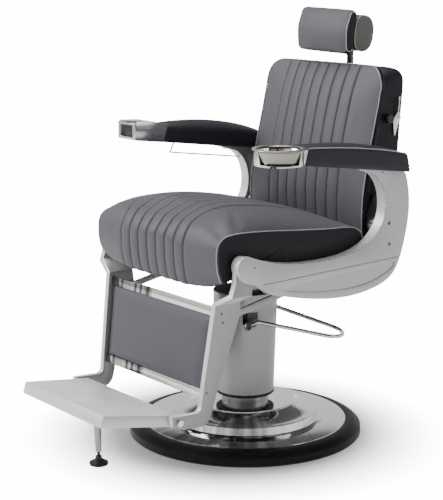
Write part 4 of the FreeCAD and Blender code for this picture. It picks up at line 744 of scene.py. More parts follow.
@dataclass
class Padding:
    """A stuffed form: a closed skin over rings of points, puffed up by simulation and then sewn."""

    name: str
    body: str
    nodes: tuple[str, ...]
    fill: float
    cap: float = 5.0
    pressure: float = 4.0
    insets: int = 5
    frames: int = 20
    piping_r: float = 1.35
    rings: np.ndarray = field(default_factory=lambda: np.zeros((0, 0, 3)))

    def skin(self, finishes: Sequence[Finish], end_dome: float, side_index: int) -> bpy.types.Object:
        """Closes the rings into a skin with gently domed ends.

        Args:
            finishes: The finishes by material index.
            end_dome: How far the ends stand out, in millimetres.
            side_index: The material index of the ends.

        Returns:
            The closed piece, not yet puffed up.
        """
        count, size = self.rings.shape[:2]
        points = [tuple(p) for ring in self.rings for p in ring]
        around = [(k, (k + 1) % size) for k in range(size)]
        faces = []
        marks = []
        for s in range(count - 1):
            for k, j in around:
                faces.append((s * size + k, s * size + j, (s + 1) * size + j, (s + 1) * size + k))
                marks.append(self.mark(s, k))
        for end, away in ((0, -1.0), (count - 1, 1.0)):
            ring = self.rings[end]
            middle = ring.mean(axis=0)
            outward = self.rings[count - 1].mean(axis=0) - self.rings[0].mean(axis=0)
            outward = outward / np.linalg.norm(outward) * away
            pairs = [(j, k) for k, j in around] if away < 0 else around
            before = [end * size + k for k in range(size)]
            for level in range(1, self.insets + 1):
                share = level / (self.insets + 1)
                lift = end_dome * (1.0 - (1.0 - share) ** 2)
                now = [len(points) + k for k in range(size)]
                points += [tuple(middle + (p - middle) * (1.0 - share) + outward * lift) for p in ring]
                faces += [(before[a], before[b], now[b], now[a]) for a, b in pairs]
                before = now
            points.append(tuple(middle + outward * end_dome))
            faces += [(before[a], before[b], len(points) - 1) for a, b in pairs]
            marks += [side_index] * (size * (self.insets + 1))
        mesh = bpy.data.meshes.new(self.name)
        mesh.from_pydata([Vector(p) * MM for p in points], [], faces)
        mesh.polygons.foreach_set("material_index", marks)
        piece = new_piece(self.name, mesh, finishes)
        work = bmesh.new()
        work.from_mesh(mesh)
        bmesh.ops.recalc_face_normals(work, faces=work.faces)
        work.to_mesh(mesh)
        work.free()
        for index, mark in enumerate(marks):
            mesh.polygons[index].material_index = mark
        return piece

    def mark(self, station: int, around: int) -> int:
        """The material index of a face between two rings."""
        return 0

    def held(self, around: Sequence[int] = ()) -> list[int]:
        """The points that don't puff up: both end rings, and some places round every ring.

        Args:
            around: The places round each ring.

        Returns:
            The points' numbers.
        """
        count, size = self.rings.shape[:2]
        ends = [*range(size), *range((count - 1) * size, count * size)]
        return sorted({*ends, *(s * size + k for s in range(count) for k in around)})

    def puff(self, piece: bpy.types.Object, held: Sequence[int]) -> None:
        """Blows the skin up as sewn cloth, then keeps every point within the cap.

        Args:
            piece: The closed skin.
            held: The points that stay, along seams and where the pad rests.
        """
        scene = bpy.context.scene
        start = np.array([vert.co[:] for vert in piece.data.vertices])
        group = piece.vertex_groups.new(name="held")
        group.add(list(held), 1.0, "REPLACE")
        cloth = piece.modifiers.new("cloth", "CLOTH")
        cloth.settings.use_pressure = True
        cloth.settings.uniform_pressure_force = self.pressure
        cloth.settings.vertex_group_mass = "held"
        cloth.settings.effector_weights.gravity = 0.0
        cloth.point_cache.frame_start = 1
        cloth.point_cache.frame_end = self.frames
        for number in range(1, self.frames + 1):
            scene.frame_set(number)
        mesh = baked(piece)
        blown = np.array([vert.co[:] for vert in mesh.vertices])
        piece.modifiers.clear()
        piece.vertex_groups.clear()
        bpy.data.meshes.remove(mesh)
        scene.frame_set(1)
        shift = blown - start
        length = np.linalg.norm(shift, axis=1)
        limit = self.cap * MM
        scale = np.where(length > limit, limit / np.maximum(length, 1e-9), 1.0)
        piece.data.vertices.foreach_set("co", (start + shift * scale[:, None]).ravel())
        piece.data.update()

    def refine(self, piece: bpy.types.Object, levels: int = 1) -> None:
        """Adds a subdivision as plain mesh.

        Args:
            piece: The piece to refine.
            levels: How many times each face is split.
        """
        rounder = piece.modifiers.new("rounder", "SUBSURF")
        rounder.levels = levels
        rounder.render_levels = levels
        apply_modifiers(piece)

    def sew(self, piece: bpy.types.Object, sink: Callable[[np.ndarray, np.ndarray], np.ndarray]) -> None:
        """Moves the skin along its normals, inwards where the value is above nought.

        Args:
            piece: The piece to sew.
            sink: Gives the depth in millimetres from points in millimetres and normals.
        """
        mesh = piece.data
        points = np.empty(len(mesh.vertices) * 3)
        mesh.vertices.foreach_get("co", points)
        points = points.reshape(-1, 3)
        normals = np.array([vert.normal[:] for vert in mesh.vertices])
        depth = sink(points / MM, normals)
        mesh.vertices.foreach_set("co", (points - normals * depth[:, None] * MM).ravel())
        mesh.update()

    def finish(self, piece: bpy.types.Object, slot: str) -> bpy.types.Object:
        """Args:
            piece: The sewn piece.
            slot: Its finish slot.

        Returns:
            The same piece.
        """
        smooth_by_angle(piece.data, PAD_TURN)
        place(piece, self.body, slot, *self.nodes)
        return piece

    def on_skin(self, piece: bpy.types.Object, path: Sequence[Sequence[float]], lift: float) -> list[Point]:
        """Lays a path on the finished skin.

        Args:
            piece: The pad.
            path: The path's points in millimetres, near the skin.
            lift: How far above the skin it runs, in millimetres.

        Returns:
            The path's points in millimetres.
        """
        mesh = piece.data
        skin = BVHTree.FromPolygons([v.co[:] for v in mesh.vertices], [p.vertices[:] for p in mesh.polygons])
        out = []
        for point in path:
            spot, normal, _, _ = skin.find_nearest(Vector(point) * MM)
            out.append(tuple((spot + normal * (lift * MM)) / MM))
        return out

    def edged(self, piece: bpy.types.Object, name: str, path: Sequence[Sequence[float]], lift: float,
              closed: bool = False) -> bpy.types.Object:
        """Lays a cord on the finished skin.

        Args:
            piece: The pad.
            name: The cord's name.
            path: Its points in millimetres, near the skin.
            lift: How far above the skin it runs, in millimetres.
            closed: Whether it ends where it starts.

        Returns:
            The cord.
        """
        return piping(name, self.body, self.on_skin(piece, path, lift), self.piping_r, closed=closed)


TUBE_ROUND, EDGE_FALL, EDGE_RISE = 0.8, 0.9, 0.6
BESIDE = (-4.0, -1.6, 0.0, 1.6, 4.0)


def channel_depth(x: np.ndarray, count: int, pitch: float, depth: float, width: float, rise: float) -> np.ndarray:
    """How deep evenly spaced sewn channels sink at places across a pad.

    Args:
        x: Places across the pad, in millimetres.
        count: How many channels there are.
        pitch: The distance between them.
        depth: Their depth.
        width: Their half width.
        rise: How far the tubes between them stand proud.

    Returns:
        The depth at each place; below nought where the tubes rise.
    """
    lines = (np.arange(count) - (count - 1) / 2) * pitch
    off = np.abs(x[:, None] - lines[None, :]).min(axis=1)
    inside = np.abs(x) <= lines[-1]
    wave = np.sin(np.pi * np.clip(off / pitch, 0.0, 0.5))
    fall = np.clip(1.0 - (np.abs(x) - lines[-1]) / (pitch * EDGE_FALL), 0.0, 1.0)
    tube = np.where(inside, wave ** TUBE_ROUND * rise, rise * EDGE_RISE * wave * fall)
    return depth * np.exp(-(off / width) ** 2) - tube


def channel_places(half: float, count: int, pitch: float, corner: Sequence[float] = ()) -> np.ndarray:
    """Places across a pad for its rings: close together beside each channel.

    Args:
        half: The pad's half width.
        count: How many channels it has.
        pitch: The distance between them.
        corner: More places near its edge, on one side.

    Returns:
        Sorted places from one edge to the other.
    """
    lines = (np.arange(count) - (count - 1) / 2) * pitch
    places = {round(float(p), 3) for p in np.linspace(-half, half, int(half / 6))}
    places = {p for p in places if np.abs(lines - p).min() > 5.0}
    for line in lines:
        places |= {round(float(line + step), 3) for step in BESIDE}
    for spot in corner:
        places |= {spot, -spot}
    places |= {-half, half}
    return np.array(sorted(places))


def unit(value: float) -> float:
    """The value, kept between 0 and 1."""
    return max(0.0, min(1.0, value))


def across(x: float, outline: np.ndarray) -> np.ndarray:
    """A side outline's points, set at a place across the chair."""
    return np.column_stack([np.full(len(outline), x), outline])


@dataclass
class SeatCushion(Padding):
    """The seat: a grey channelled blanket over the front and top, with black boxed sides."""

    half: float = 257.0
    channels: int = 8
    pitch: float = 38.4
    line: tuple[tuple[float, float, float, float], ...] = (
        (-281, 487, 250, 25), (-292, 513, 195, 6), (-296, 545, 180, 4), (-292, 581, 152, 8), (-269, 600, 115, 26),
        (-225, 605, 93, 40), (-140, 601, 87, 44), (-40, 592, 86, 41), (60, 584, 84, 28), (122, 581, 80, 11),
        (156, 575, 62, 5), (178, 560, 35, 3), (185, 540, 12, 2))
    over: int = 78
    under: int = 30
    floor: float = 502.0
    sewn: Point = (2.2, 1.8, 3.2)
    sewn_from: Point = (-258.0, 530.0, 455.0)

    def mark(self, station: int, around: int) -> int:
        """Grey over the top and front, black below."""
        return 0 if around < self.over - 1 else 1

    def ring(self, x: float) -> np.ndarray:
        """The closed outline of the cushion at a place across it.

        Args:
            x: The place, in millimetres.

        Returns:
            The ring's points.
        """
        bulge = max(0.0, 1.0 - abs(x / self.half) ** 5)
        outer = []
        for y, z, turn, crown in self.line:
            angle = math.radians(turn)
            outer.append((y + math.cos(angle) * crown * bulge, z + math.sin(angle) * crown * bulge))
        top = curve_through(outer, self.over)
        hem_y, hem_z = outer[0]
        below = [tuple(top[-1]), (outer[-1][0] - 4, 518.0), (158.0, 505.0), (140.0, self.floor), (0.0, self.floor),
                 (-150.0, self.floor), (-236.0, self.floor), (-248.0, (self.floor + hem_z) / 2),
                 (hem_y + 22, hem_z + 4), (hem_y + 10, hem_z - 3), (hem_y, hem_z)]
        rest = curve_through(below, self.under + 2)[1:-1]
        return across(x, np.vstack([top, rest]))

    def build(self) -> list[bpy.types.Object]:
        """Makes the cushion and its piping.

        Returns:
            The pieces.
        """
        places = channel_places(self.half, self.channels, self.pitch, (254.0, 250.0, 244.0))
        self.rings = np.array([self.ring(float(x)) for x in places])
        piece = self.skin([GREY_LEATHER, BLACK_LEATHER], 2.5, 1)
        self.puff(piece, self.held(range(self.over + 4, self.over + self.under)))
        self.refine(piece)

        def sink(points: np.ndarray, normals: np.ndarray) -> np.ndarray:
            """The seat's channels on its front and top.

            Args:
                points: The skin's points in millimetres.
                normals: Their normals.

            Returns:
                The depth at each point.
            """
            deep = channel_depth(points[:, 0], self.channels, self.pitch, *self.sewn)
            face = np.clip((np.abs(normals[:, 0]) * -1.0 + 0.75) * 4.0, 0.0, 1.0)
            ahead, above, foot = self.sewn_from
            skin = ((points[:, 1] < ahead) | (points[:, 2] > above)) & (points[:, 2] > foot)
            return deep * face * np.where(skin, 1.0, 0.0)

        self.sew(piece, sink)
        self.finish(piece, "grey_vinyl")
        return [piece, *(self.edged(piece, "seat_piping_" + name, self.ring(side * self.half)[:self.over], 0.6)
                         for side, name in (RIGHT, LEFT))]


@dataclass
class BackCushion(Padding):
    """The backrest's front: grey, channelled, with rounded top corners."""

    half: float = 228.0
    bottom: float = 534.0
    top: float = 980.0
    corner: float = 55.0
    channels: int = 8
    pitch: float = 39.8
    line: tuple[tuple[float, float], ...] = (
        (534, 206), (600, 204), (645, 205), (704, 215), (780, 231), (833, 244), (885, 256), (925, 264), (950, 268),
        (966, 272), (980, 279))
    crown: tuple[tuple[float, float], ...] = (
        (534, 2), (600, 7), (645, 13), (704, 18), (780, 21), (885, 20), (925, 17), (950, 12), (966, 7), (980, 2))
    depth: float = 24.0
    over: int = 70
    under: int = 24
    sewn: Point = (1.9, 1.8, 2.4)

    def mark(self, station: int, around: int) -> int:
        """Grey on the front, black behind."""
        return 0 if around < self.over - 1 else 1

    def height(self, x: float) -> float:
        """The top edge's height at a place across.

        Args:
            x: The place, in millimetres.

        Returns:
            The height.
        """
        inner = self.half - self.corner
        out = min(max(abs(x) - inner, 0.0), self.corner)
        return self.top - self.corner + math.sqrt(max(self.corner ** 2 - out ** 2, 0.0))

    def front(self, x: float, z: float) -> float:
        """The front's place at a spot.

        Args:
            x: The spot's place across.
            z: Its height.

        Returns:
            Its place in depth.
        """
        line = np.array(self.line)
        crown = np.array(self.crown)
        bulge = max(0.0, 1.0 - (x / self.half) ** 2)
        return float(np.interp(z, line[:, 0], line[:, 1]) - np.interp(z, crown[:, 0], crown[:, 1]) * bulge)

    def ring(self, x: float) -> np.ndarray:
        """The closed outline of the pad at a place across it.

        Args:
            x: The place, in millimetres.

        Returns:
            The ring's points.
        """
        top = self.height(x)
        share = np.linspace(0.0, 1.0, self.over)
        heights = self.bottom + (top - self.bottom) * (1.0 - (1.0 - share) ** 1.15)
        ahead = [(self.front(x, float(z)), float(z)) for z in heights]
        end_y = ahead[-1][0]
        rear = [(self.front(self.half, z) + self.depth, z) for z in (830, 700, 600)]
        behind = curve_through([ahead[-1], (end_y + 10, top - 1), (end_y + 20, top - 10), *rear,
                                (self.line[0][1] + self.depth, self.bottom + 2), ahead[0]], self.under + 2)[1:-1]
        return across(x, np.vstack([ahead, behind]))

    def edge_path(self) -> list[Point]:
        """The seam round the pad's front, from one lower end over the top to the other.

        Returns:
            The seam's points in millimetres.
        """
        inner = self.half - self.corner
        heights = np.linspace(self.bottom + 2, self.top - self.corner, 40)
        path = [(self.half, self.front(self.half, z), z) for z in heights]
        for turn in np.linspace(0.0, 90.0, 12)[1:]:
            angle = math.radians(float(turn))
            x = inner + self.corner * math.cos(angle)
            z = self.top - self.corner + self.corner * math.sin(angle)
            path.append((x, self.front(x, z), z))
        path += [(x, self.front(x, self.top), self.top) for x in np.linspace(inner, 0.0, 14)[1:]]
        return path + [(-x, y, z) for x, y, z in reversed(path[:-1])]

    def build(self) -> list[bpy.types.Object]:
        """Makes the pad and its piping.

        Returns:
            The pieces.
        """
        inner = self.half - self.corner
        turns = (15, 30, 42, 54, 64, 73, 81, 86)
        rounding = [round(inner + self.corner * math.sin(math.radians(turn)), 2) for turn in turns]
        places = channel_places(self.half, self.channels, self.pitch, rounding)
        self.rings = np.array([self.ring(float(x)) for x in places])
        piece = self.skin([GREY_LEATHER, BLACK_LEATHER], 0.4, 1)
        self.puff(piece, self.held([0, *range(self.over - 1, self.over + self.under)]))
        self.refine(piece)

        def sink(points: np.ndarray, normals: np.ndarray) -> np.ndarray:
            """The back's channels on its front.

            Args:
                points: The skin's points in millimetres.
                normals: Their normals.

            Returns:
                The depth at each point.
            """
            deep = channel_depth(points[:, 0], self.channels, self.pitch, *self.sewn)
            return deep * np.clip(-normals[:, 1] * 2.0 - 0.4, 0.0, 1.0)

        self.sew(piece, sink)
        self.finish(piece, "grey_vinyl")
        return [piece, self.edged(piece, "back_piping", self.edge_path(), 1.4)]


@dataclass
class BackShell(Padding):
    """The backrest's black boxed rear."""

    half: float = 228.6
    bottom: float = 534.0
    top: float = 978.0
    corner: float = 55.0
    rear_corner: float = 26.0
    rear: tuple[tuple[float, float], ...] = (
        (312, 534), (325, 640), (334, 740), (342, 840), (348, 905), (350, 946), (347.5, 964), (339, 973), (322, 977))
    front: tuple[tuple[float, float], ...] = (
        (209, 534), (209, 600), (210, 645), (220, 704), (236, 780), (249, 833), (261, 885), (269, 925), (273, 950),
        (281, 977))
    shoulder: float = 900.0
    fall: float = 75.0
    edge: float = 9.0
    still: Pair = (290.0, 226.0)

    def drop(self, x: float, y: float) -> float:
        """How far the top lies below its middle at a place across and in depth.

        Args:
            x: The place across.
            y: The place in depth.

        Returns:
            The drop in millimetres.
        """
        radius = float(np.interp(y, (290.0, 345.0), (self.corner, self.rear_corner)))
        out = min(max(abs(x) - self.half + radius, 0.0), radius)
        return radius - math.sqrt(max(radius ** 2 - out ** 2, 0.0))

    def outline(self, x: float) -> np.ndarray:
        """The closed side outline at a place across, with its top lowered at the corners.

        Args:
            x: The place across.

        Returns:
            The outline's depths and heights.
        """
        near = max(0.0, abs(x) - self.half + self.edge) / self.edge
        shrink = self.edge * (1.0 - math.sqrt(max(0.0, 1.0 - near ** 2)))

        def lowered(y: float, z: float) -> float:
            """The height of a point once the top is lowered."""
            return z if z < self.shoulder else z - self.drop(x, y) * (z - self.shoulder) / self.fall

        back_line = curve_through([(y - shrink, lowered(y, z)) for y, z in self.rear], 46)
        front_line = curve_through([(y, lowered(y, z)) for y, z in reversed(self.front)], 30)
        base = curve_through([front_line[-1], back_line[0]], 10)[1:-1]
        return np.vstack([back_line, front_line, base])

    def build(self) -> list[bpy.types.Object]:
        """Makes the shell.

        Returns:
            The pieces.
        """
        inner = self.half - self.corner
        turns = (10, 25, 40, 52, 62, 71, 79, 85, 90)
        spots = [0.0, 60.0, 120.0, 160.0, *(inner + self.corner * math.sin(math.radians(turn)) for turn in turns)]
        places = sorted({round(spot * side, 3) for spot in spots for side in (1, -1)})
        self.rings = np.array([across(x, self.outline(x)) for x in places])
        piece = self.skin([BLACK_LEATHER], 0.3, 0)
        ahead, beside = self.still
        self.puff(piece, [i for i, vert in enumerate(piece.data.vertices)
                          if vert.co.y < ahead * MM or abs(vert.co.x) > beside * MM])
        self.refine(piece)
        self.finish(piece, "black_vinyl")
        return [piece]


HEADREST_LEAN = 8.0
HEADREST_PIVOT = (318.0, 1062.0)


def leaned(points: np.ndarray) -> np.ndarray:
    """Points of the headrest, leaned back to its rest angle.

    Args:
        points: The upright points in millimetres.

    Returns:
        The leaned points.
    """
    turn = math.radians(HEADREST_LEAN)
    y, z = (points[:, 1:] - HEADREST_PIVOT).T
    return np.column_stack([points[:, 0], HEADREST_PIVOT[0] + y * math.cos(turn) + z * math.sin(turn),
                            HEADREST_PIVOT[1] - y * math.sin(turn) + z * math.cos(turn)])


@dataclass
class HeadrestPad(Padding):
    """The headrest's front pad: grey face, black boxing."""

    half: float = 97.0
    low: float = 1003.0
    high: float = 1122.0
    edge_y: float = 270.0
    back_y: float = 290.5
    nose: float = 254.5
    piping_r: float = 1.5
    sag: float = 0.024
    over: int = 30
    under: int = 30

    def mark(self, station: int, around: int) -> int:
        """Grey on the face, black behind the seam."""
        return 0 if around < self.over - 1 else 1

    def ring(self, x: float) -> np.ndarray:
        """The closed outline at a place across.

        Args:
            x: The place, in millimetres.

        Returns:
            The ring's points.
        """
        out = max(0.0, abs(x) / self.half)
        draw = 7.0 * max(0.0, out - 0.86) ** 2 / 0.14 ** 2
        low = self.low + draw
        high = self.high - draw
        nose = self.nose + 7.0 * out ** 4
        edge = self.edge_y - 1.0
        face = curve_through([(edge, low + 2), (nose + 6, low + 14), (nose, (low + high) / 2 - 12),
                              (nose, (low + high) / 2 + 12), (nose + 6, high - 14), (edge, high - 2)], self.over)
        rear = curve_through([(edge, high - 2), (edge + 3, high - 1), (self.back_y - 4, high - 2),
                              (self.back_y, high - 7), (self.back_y, low + 7), (self.back_y - 4, low + 2),
                              (edge + 3, low + 1), (edge, low + 2)], self.under + 2)[1:-1]
        outline = np.vstack([face, rear])
        outline[:, 1] -= self.sag * (x + self.half)
        return leaned(across(x, outline))

    def build(self) -> list[bpy.types.Object]:
        """Makes the pad and the piping down the sides of its face.

        Returns:
            The pieces.
        """
        places = sorted({round(s * self.half * f, 2) for s in (-1, 1)
                         for f in (0.0, 0.12, 0.24, 0.36, 0.48, 0.6, 0.72, 0.82, 0.88, 0.92, 0.955, 0.98, 1.0)})
        self.rings = np.array([self.ring(float(x)) for x in places])
        piece = self.skin([GREY_LEATHER, BLACK_LEATHER], 0.8, 1)
        self.puff(piece, self.held(range(self.over - 1, self.over + self.under)))
        self.refine(piece)
        self.finish(piece, "grey_vinyl")
        pieces = [piece]
        for side, name in (RIGHT, LEFT):
            outline = self.ring(side * self.half)
            seam = curve_through(np.vstack([outline[-6:], outline[:36]])[::4], 48)
            pieces.append(self.edged(piece, "headrest_piping_" + name, seam, 0.6))
        return pieces


@dataclass
class HeadrestRoll(Padding):
    """The headrest's rounded rear half, olive with pale rims."""

    half: float = 97.5
    piping_r: float = 1.4

    middle: float = 1059.5
    rear: float = 41.0
    ahead: float = 27.0
    tall: float = 48.5
    square: float = 0.8

    def ring(self, x: float, shrink: float = 0.0) -> np.ndarray:
        """The oval outline at a place across.

        Args:
            x: The place, in millimetres.
            shrink: How much smaller the oval is there.

        Returns:
            The ring's points.
        """
        turns = np.linspace(0.0, 2 * math.pi, 56, endpoint=False)
        deep = np.where(np.cos(turns) > 0, self.rear, self.ahead) - shrink
        y = HEADREST_PIVOT[0] + deep * np.sign(np.cos(turns)) * np.abs(np.cos(turns)) ** self.square
        z = self.middle + (self.tall - shrink) * np.sign(np.sin(turns)) * np.abs(np.sin(turns)) ** self.square
        return leaned(across(x, np.column_stack([y, z])))

    def build(self) -> list[bpy.types.Object]:
        """Makes the roll and its rims.

        Returns:
            The pieces.
        """
        spots = ((-self.half, 2.0), (-self.half + 1.5, 0.6), (-self.half + 5, 0.0), (-60.0, 0.0), (-20.0, 0.0),
                 (20.0, 0.0), (60.0, 0.0), (self.half - 5, 0.0), (self.half - 1.5, 0.6), (self.half, 2.0))
        self.rings = np.array([self.ring(x, s) for x, s in spots])
        piece = self.skin([OLIVE_LEATHER], 2.5, 0)
        self.refine(piece)
        self.finish(piece, "olive_vinyl")
        return [piece, *(self.edged(piece, "roll_rim_" + name, self.ring(side * self.half, 1.2), 0.3, closed=True)
                         for side, name in (RIGHT, LEFT))]


BOWL = (290.0, -131.0)


@dataclass
class ArmPad(Padding):
    """A padded black armrest with piping along its upper outer edge."""

    side: float = 1.0
    inner: float = 250.0
    outer: float = 330.0
    piping_r: float = 1.5
    recess: bool = True
    room: Pair = (69.5, 801.0)
    front_y: float = -76.0
    length: float = 345.0
    under: Point = (763.3, -78.0, 0.13)
    upper: tuple[float, float, float, float] = (805.0, -74.0, 0.02, 0.00027)
    swell: float = 5.0

    def bottom(self, y: float) -> float:
        """Height of the underside."""
        height, start, slope = self.under
        return height - slope * (y - start)

    def shoulder(self, y: float) -> float:
        """Height of the upper side edges."""
        height, start, slope, bend = self.upper
        run = max(y, self.front_y) - start
        return height - slope * run - bend * run * run

    def crown(self, y: float) -> float:
        """How far the middle stands above the edges."""
        share = unit((y - self.front_y) / self.length)
        return self.swell + self.swell * 0.6 * math.sin(math.pi * share)

    def ring(self, y: float, tip: float = 0.0, back: float = 0.0) -> np.ndarray:
        """The closed outline at a place along the arm.

        Args:
            y: The place along the arm.
            tip: How far the seam's slant leans the ring forward at its foot.
            back: How far the rear end leans.

        Returns:
            The ring's points.
        """
        low = self.bottom(y)
        side = self.shoulder(y)
        crown = side + self.crown(y)
        mid = (self.inner + self.outer) / 2
        soft = 3.0
        points = [(self.inner + 3, low), (mid, low), (self.outer - 3, low), (self.outer - 0.6, low + 3),
                  (self.outer, (low + side) / 2), (self.outer, side - soft), (self.outer - 4, side + 1.5),
                  (self.outer - 18, side + (crown - side) * 0.6), (mid, crown),
                  (self.inner + 18, side + (crown - side) * 0.6), (self.inner + 4, side + 1.5),
                  (self.inner, side - soft), (self.inner, (low + side) / 2), (self.inner + 0.6, low + 3)]
        closed = points + [points[0]]
        outline = curve_through(closed, 61)[:-1]
        rows = []
        for x, z in outline:
            lean = (z - low) / max(side - low, 1.0)
            rows.append((x * self.side, y + tip * lean - back * lean, z))
        return np.array(rows)

    def build(self) -> list[bpy.types.Object]:
        """Makes the pad and its piping.

        Returns:
            The pieces.
        """
        places = [-84.0, -82.5, -79.0, -72.0, -60.0, -40.0, -15.0, 10.0, 35.0, 60.0, 85.0, 110.0, 135.0, 160.0, 185.0,
                  210.0, 232.0, 250.0, 262.0, 270.0, 274.0, 275.5]
        rings = []
        for y in places:
            rings.append(self.ring(y, unit((-y - 20.0) / 64.0) * 12.5, unit((y - 200.0) / 75.0) * 13.0))
        self.rings = np.array(rings)
        if self.side < 0:
            self.rings = self.rings[:, ::-1, :]
        piece = self.skin([ARM_LEATHER], 0.3, 0)
        low = [i for i, v in enumerate(piece.data.vertices) if v.co.z / MM < self.bottom(v.co.y / MM) + 2.0]
        self.puff(piece, sorted({*self.held(), *low}))
        self.refine(piece)
        if self.recess:
            self.make_room(piece)
        name = "arm_pad_skin_left" if self.side > 0 else "arm_pad_skin_right"
        piece.name = name
        self.finish(piece, "black_vinyl")
        edge = []
        for y in np.linspace(-70.0, 262.0, 46):
            edge.append(((self.outer - 1.5) * self.side, float(y), self.shoulder(float(y)) + 0.5))
        edge += [((self.outer - 1.0) * self.side, 266.0, self.shoulder(262.0) - 8.0),
                 ((self.outer - 1.0) * self.side, 270.0, self.shoulder(262.0) - 24.0),
                 ((self.outer - 1.0) * self.side, 273.5, self.bottom(274.0) + 6.0)]
        return [piece, self.edged(piece, name.replace("skin", "piping"), edge, 0.4)]

    def make_room(self, piece: bpy.types.Object) -> None:
        """Presses the pad's front end down where the bowl's rim passes over it.

        Args:
            piece: The pad.
        """
        reach, height = self.room
        for vert in piece.data.vertices:
            x, y, z = (value / MM for value in vert.co)
            if math.hypot(x - BOWL[0], y - BOWL[1]) < reach and z > height:
                vert.co.z = height * MM
        piece.data.update()


# The legs spread to the sides over a rise, from their lowest point on.
LEG_LOW, LEG_RISE, LEG_SPREAD = 150.0, 280.0, 15.0


@dataclass
class LegPanel(Padding):
    """The padded panel between the legs."""

    low: float = 214.0
    high: float = 400.7
    depth: float = 16.0
    crown: float = 7.0
    narrow: float = 209.0
    gap: float = 0.6
    step: float = 4.0
    foot: Pair = (-304.0, 218.0)
    slope: Pair = (28.0, 183.0)
    ahead: int = 41

    def half(self, z: float) -> float:
        """Half width at a height, inside the spreading legs."""
        return self.narrow + (z - LEG_LOW) / LEG_RISE * LEG_SPREAD - self.gap

    def front(self, z: float) -> float:
        """Place of the front edge at a height."""
        y, start = self.foot
        run, rise = self.slope
        return y + (z - start) * run / rise

    def ring(self, z: float) -> np.ndarray:
        """The closed outline at a height.

        Args:
            z: The height, in millimetres.

        Returns:
            The ring's points.
        """
        half = self.half(z)
        y = self.front(z)
        up = unit(min((z - self.low) / 8.0, (self.high - z) / 14.0))
        swell = self.crown * math.sin(up * math.pi / 2)
        ahead = []
        for s in np.linspace(-1.0, 1.0, self.ahead):
            edge = unit((1.0 - abs(s)) * half / 16.0)
            ahead.append((s * half, y + self.step - swell * math.sin(edge * math.pi / 2) - 1.5 * (1 - s * s), z))
        behind = [(s * half, y + self.depth, z) for s in np.linspace(1.0, -1.0, 21)]
        sides = [(half, y + self.step + (self.depth - self.step) * t, z) for t in (0.35, 0.7)]
        return np.array(ahead + sides + behind + [(-x, y_, z_) for x, y_, z_ in reversed(sides)])

    def build(self) -> list[bpy.types.Object]:
        """Makes the panel.

        Returns:
            The pieces.
        """
        heights = [self.low, 215.5, 217.5, 220.0, 223.0, 227.0, 233.0, *np.linspace(245.0, 375.0, 12),
                   386.0, 392.0, 396.0, 399.0, self.high]
        self.rings = np.array([self.ring(float(z)) for z in heights])
        piece = self.skin([GREY_LEATHER], 0.0, 0)
        self.puff(piece, self.held([0, *range(self.ahead - 1, self.rings.shape[1])]))
        self.refine(piece)
        self.finish(piece, "grey_vinyl")
        return [piece]


@dataclass
class Hardware:
    """CAD nodes of one body that are dressed as they are: node, finish and easing in millimetres."""

    body: str
    looks: tuple[tuple[str, Finish, float], ...] = ()

    def dress(self) -> list[bpy.types.Object]:
        """Dresses the nodes.

        Returns:
            The pieces.
        """
        return [Recast(node, self.body, finish, ease).build() for node, finish, ease in self.looks]


BASE = (("floor_ring", RIDGED_RUBBER, 0.0), ("base_plate", IRON, 0.0), ("base_cover", COVER_CHROME, 0.0),
        ("collar_disc", CHROME, 0.0), ("pump_cylinder", SATIN_STEEL, 0.0), ("cylinder_gland", SATIN_STEEL, 0.0))
COLUMN_PARTS = (("column_cover", COLUMN, 0.0), ("column_lip", RUBBER, 0.0), ("guide_bush", PLASTIC, 0.0),
                ("lift_ram", SATIN_STEEL, 0.0), ("column_head", SMOOTH_CAST, 0.0),
                ("swivel_spindle", SATIN_STEEL, 0.0))
LEVER = (("lever_shaft", CHROME, 0.0), ("lever_loop", CHROME, 0.0))
CARRIER = (("leg_pivot_pins", DARK_STEEL, 0.0), ("frame_screws_left", DARK_STEEL, 0.0),
           ("frame_screws_right", DARK_STEEL, 0.0), ("cross_tubes", DARK_STEEL, 0.0),
           ("seat_carrier", SMOOTH_CAST, 0.0), ("seat_board", PLY, 0.0), ("towel_rail", CHROME, 0.0))
ARM_ENDS = (("arm_cap_left", CHROME, 0.6), ("arm_cap_right", CAP_CHROME, 1.2), ("cap_insert", PLASTIC, 0.8),
            ("holder_catch", PLASTIC, 0.5))
BACK_PARTS = (("back_brackets", DARK_STEEL, 1.0), ("knob_stud", DARK_STEEL, 0.0),
              ("headrest_socket", DARK_STEEL, 1.0))
REST_BARS = (("rest_bar_top", BAR_CHROME, 0.8), ("rest_bar_low", BAR_CHROME, 0.8),
             ("link_front_pins", DARK_STEEL, 0.0))
PROP = (("foot_hinge_pins", CHROME, 0.0), ("stay_tube", PROP_STEEL, 0.0), ("stay_stem", PLASTIC, 0.0),
        ("stay_foot", RUBBER, 1.0))


